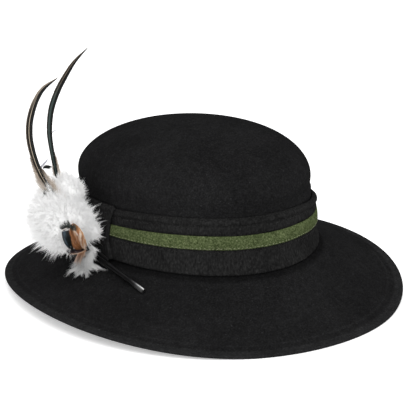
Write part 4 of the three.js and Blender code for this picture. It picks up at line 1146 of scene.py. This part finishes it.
barb_fan("blue_black_edge", shares_of_puff((-0.29, -0.8, -0.57), (-0.2, -0.78, -0.6)),
         shares_of_puff((-0.56, -0.84, -0.06), (-0.4, -0.9, -0.02)), 60, 0.3, 0.15, 0.1, 64, dark_barbs,
         "blue_black_feather", tones=(0, 0.5))
barb_fan("dark_barbs_at_tie", near_tie((11.4, -18.4, 5.2), (11.0, -18.7, 4.7)),
         near_tie((20.6, -13.2, 5.6), (21.6, -13.3, 3.9), (19.6, -14.9, 2.2)),
         520, 0.5, 0.4, 0.16, 65, purple_barbs, "brown_feather", sweep=(0, 0, -0.5))
barb_fan("lower_feather_barbs", near_tie((9.6, -14.6, 3.4), (8.0, -14.6, 4.2), (6.9, -14.5, 4.4)),
         near_tie((15.3, -12.1, -4.2), (15.6, -12.6, -6.6), (13.4, -14.0, -7.4), (10.6, -14.6, -4.7),
                  (8.9, -14.6, -1.4)),
         620, 1.1, 0.35, 0.1, 66, faded_barbs, "brown_feather", tones=(0.3, 0.98), bundles=11, curl=0.5,
         gather=0.6, sweep=(-0.8, 0.5, 0))
barb_fan("crossed_barbs_upper", near_tie((10.4, -20.5, 6.4), (10.8, -20.4, 6.0)),
         near_tie((21.8, -13.6, 6.2), (21.0, -14.0, 5.7)), 9, 0.7, 0.12, 0.075, 67, crossed_barbs,
         "brown_feather", sweep=(0, 0, 1.1))
barb_fan("crossed_barbs_lower", near_tie((10.4, -20.9, 5.8), (10.8, -20.6, 5.2)),
         near_tie((22.6, -13.9, 3.2), (21.6, -14.4, 2.6)), 9, 0.7, 0.14, 0.075, 68, crossed_barbs,
         "brown_feather", sweep=(0, 0, -2.4))

# The small tuft: a short marabou tip that hangs from the tie below the puff, in thin curling locks that show
# the felt between them. White wisps of the puff fall over the start of the quills.
tuft_white = barb_finish("grey-white down of the tuft", [
    (0, 0.5), (0.5, (0.76, 0.76, 0.755)), (1, (0.93, 0.93, 0.925))], 0.9, 0.8, 0.1, 0.3)
tuft_middle, tuft_radii = from_tie(7.2, -9.2, -7.2), [2.4, 1.8, 3.2]
tuft_heart = surface("tuft_heart", keep_off_hat(tuft_middle + heart_way[::3, ::3] * tuft_radii))
finish_with(tuft_heart, tuft_white, "white_down", "marabou_tip")
barb_fan("tuft_body", near_tie((6.5, -8.8, -3.1), (3.4, -9.9, -0.7), (0.8, -11.0, 0.3)),
         near_tie((14.6, -6.6, -11.4), (12.7, -8.9, -14.0), (9.3, -11.5, -15.2), (6.3, -13.4, -15.0),
                  (3.4, -14.2, -12.4), (0.1, -14.6, -7.6)),
         1300, 1.6, 0.9, 0.07, 71, tuft_white, "white_down", bundles=22, curl=1.6, gather=0.6)
barb_fan("tuft_tips", near_tie((10.5, -8.5, -10), (6.5, -11.4, -12), (2.0, -13.2, -9)),
         near_tie((19.8, -5.0, -14.4), (18.4, -6.3, -15.8), (15.8, -7.7, -14.9), (12.9, -11.0, -18.6),
                  (11.0, -12.5, -19.4), (6.2, -15.4, -18.6), (5.1, -15.1, -16.0), (3.3, -15.7, -14.4),
                  (-0.8, -17.0, -12.4), (-4.2, -19.2, -13.0), (-7.0, -21.0, -12.0)),
         620, 1.0, 0.5, 0.07, 77, tuft_white, "white_down", tones=(0.4, 1), bundles=27, curl=2.2, bends=6,
         gather=0.72)
barb_fan("wisps_over_quills", near_tie((2.4, -9.2, 3.0), (-0.5, -11.2, 2.7)),
         near_tie((-0.9, -13.1, -1.8), (-1.8, -15.0, -4.6), (-3.6, -14.4, -0.5)), 170, 0.8, 0.6, 0.075,
         73, tuft_white, "white_down", tones=(0.6, 1), bundles=9, curl=0.8)

# Stray barbs: a dark curled barb and a few grey wisps between the sickle feathers, dark barbs in the down at
# the left one's base, and one loose barb on the right one.
wisp_grey = barb_finish("lavender grey barbs", [(0, (0.5, 0.5, 0.55)), (1, (0.75, 0.75, 0.8))], 1.0, 0.6)


def join_on(line, place):
    """The point of a feather's line that lies nearest to a place."""
    return line[np.argmin(np.linalg.norm(line - place, axis=1))]


left_join = join_on(left_line, from_tie(22.3, 16.3, 59.0))
right_join = join_on(right_line, from_tie(12.0, 19.2, 80.2))
barb_fan("curled_barb_root", [left_join, left_join + [0, 0, 0.4]],
         near_tie((20.5, 15.2, 58.9), (20.3, 15, 58.6)), 6, 0.3, 0.1, 0.12, 85, dark_barbs, "dark_feather",
         tones=(0, 0.4))
barb_fan("curled_barb", near_tie((22.3, 16.3, 58.9), (22.1, 16.3, 58.3)),
         near_tie((17.0, 13.2, 59.4), (18.0, 13.5, 57.9)), 90, 0.7, 0.3, 0.2, 81, dark_barbs, "dark_feather",
         tones=(0, 0.3), sweep=(0, 0, 1.2))
barb_fan("grey_wisps", [left_join, left_join + [0, 0, 1.0]],
         near_tie((16.7, 15.7, 66.5), (18.9, 16.5, 64.8)), 70, 0.5, 0.5, 0.07, 82, wisp_grey, "dark_feather",
         bundles=4, curl=0.8)
barb_fan("dark_barbs_in_down", near_tie((28.0, 9.0, 39.0), (24.0, 9.0, 42.0)),
         near_tie((26.0, 10.0, 45.5), (21.5, 9.0, 47.0)), 26, 0.5, 0.6, 0.11, 83, dark_barbs, "dark_feather",
         tones=(0.1, 0.9), bundles=7, curl=0.8)
barb_fan("loose_barb", [right_join, right_join + [0, 0, 0.8]],
         near_tie((7.1, 17.5, 84.9), (7.6, 17.7, 84.4)), 12, 0.6, 0.25, 0.09, 84, wisp_grey, "dark_feather",
         sweep=(0, 0, 1.4))

# The quills: the black ends of the feathers' own shafts, cut off, that run forward from the tie over the
# band and the brim: one long, whose end shines pale with a painted highlight, and two short.
quill_radius = 1.8
quill_tip_angle = np.array(math.radians(213.25))
quill_reach, quill_lift = 21.4, 2.2
quill_share = quill_reach / brim_point(quill_tip_angle, np.array(0.0))[1]
quill_tip = brim_point(quill_tip_angle, quill_share)[0] + [0, 0, quill_lift]
quill_start = from_tie(0, 0.5, -2)
# The sections of a quill's cut end: shares of its length and of its radius, rounded over and hollowed
# inwards.
cut_end = np.array([(0.995, 0.92), (1, 0.72), (1, 0.55), (0.985, 0.45)])


def beside_quill(share, up, out):
    """A place beside the long quill's line."""
    return quill_start + (quill_tip - quill_start) * share + np.array([-out, 0, up])


def quill_rod(name, start, end, start_radius, end_radius, sag):
    """A quill: circles carried along a line with a slight bow, tapered, rounded over at its cut end and
    hollowed there."""
    share = np.append(np.linspace(0, cut_end[-1, 0], 40), cut_end[:, 0])[:, None]
    size = np.interp(share, [0, 1], [start_radius, end_radius])
    size = size * np.append(np.ones(40), cut_end[:, 1])[:, None]
    along = unit(end - start)
    side = unit(np.cross([0, 0, 1.0], along))
    over = np.cross(along, side)
    turn = np.linspace(0, 2 * math.pi, 20, endpoint=False)[None, :]
    bow = sag * np.sin(math.pi * share) ** 2
    grid = (start + (end - start) * share[..., None] + over * bow[..., None]
            + side * (np.cos(turn) * size)[..., None] + over * (np.sin(turn) * size)[..., None])
    return surface(name, grid)


def quill_finish(name, run_stops):
    """Black quill horn: nearly black, with a thin grey streak of painted highlight along its upper side and
    its own colours along its run, by its UV."""
    material, tree, shader = new_finish(name, 0.3, 0.06)
    round_it, run = own_run(tree)
    along = ramp(tree, run, run_stops)
    painted_highlight_streak = ramp(tree, round_it, [(0.18, 0.06), (0.25, 0.3), (0.29, 1), (0.33, 0.3), (0.4, 0.06)])
    tree.links.new(product(tree, along, painted_highlight_streak), shader.inputs["Base Color"])
    return material


quill_grey = (0.022, 0.022, 0.023)
# The long quill's pale stretch towards its end is painted highlight, shown along its top streak.
long_quill_painted_glint = quill_finish("polished black quill", [
    (0.0, quill_grey), (0.72, quill_grey), (0.79, (0.12, 0.12, 0.125)), (0.84, (0.55, 0.55, 0.56)),
    (0.9, 0.95), (0.955, 0.6), (0.965, 0.05), (1.0, 0.02)])
short_quill_finish = quill_finish("black quill", [(0.0, quill_grey), (1.0, 0.02)])
for quill_name, start, end, swell, taper, sag, paint, node in (
        ("quill_long", quill_start, quill_tip, 1.3, 1, 0, long_quill_painted_glint, "quill_stem_1"),
        ("quill_upper", beside_quill(0.02, 3.6, 0.2), beside_quill(0.4, 3.2, -0.4), 1.3, 0.6, 0.3,
         short_quill_finish, "quill_stem_2"),
        ("quill_lower", beside_quill(0.02, -2.6, 3.2), beside_quill(0.28, -2.0, 2.4), 1.2, 0.6, -0.2,
         short_quill_finish, "quill_stem_3")):
    rod = quill_rod(quill_name, start, end, quill_radius * swell, quill_radius * taper, sag)
    finish_with(rod, paint, "quill", node)
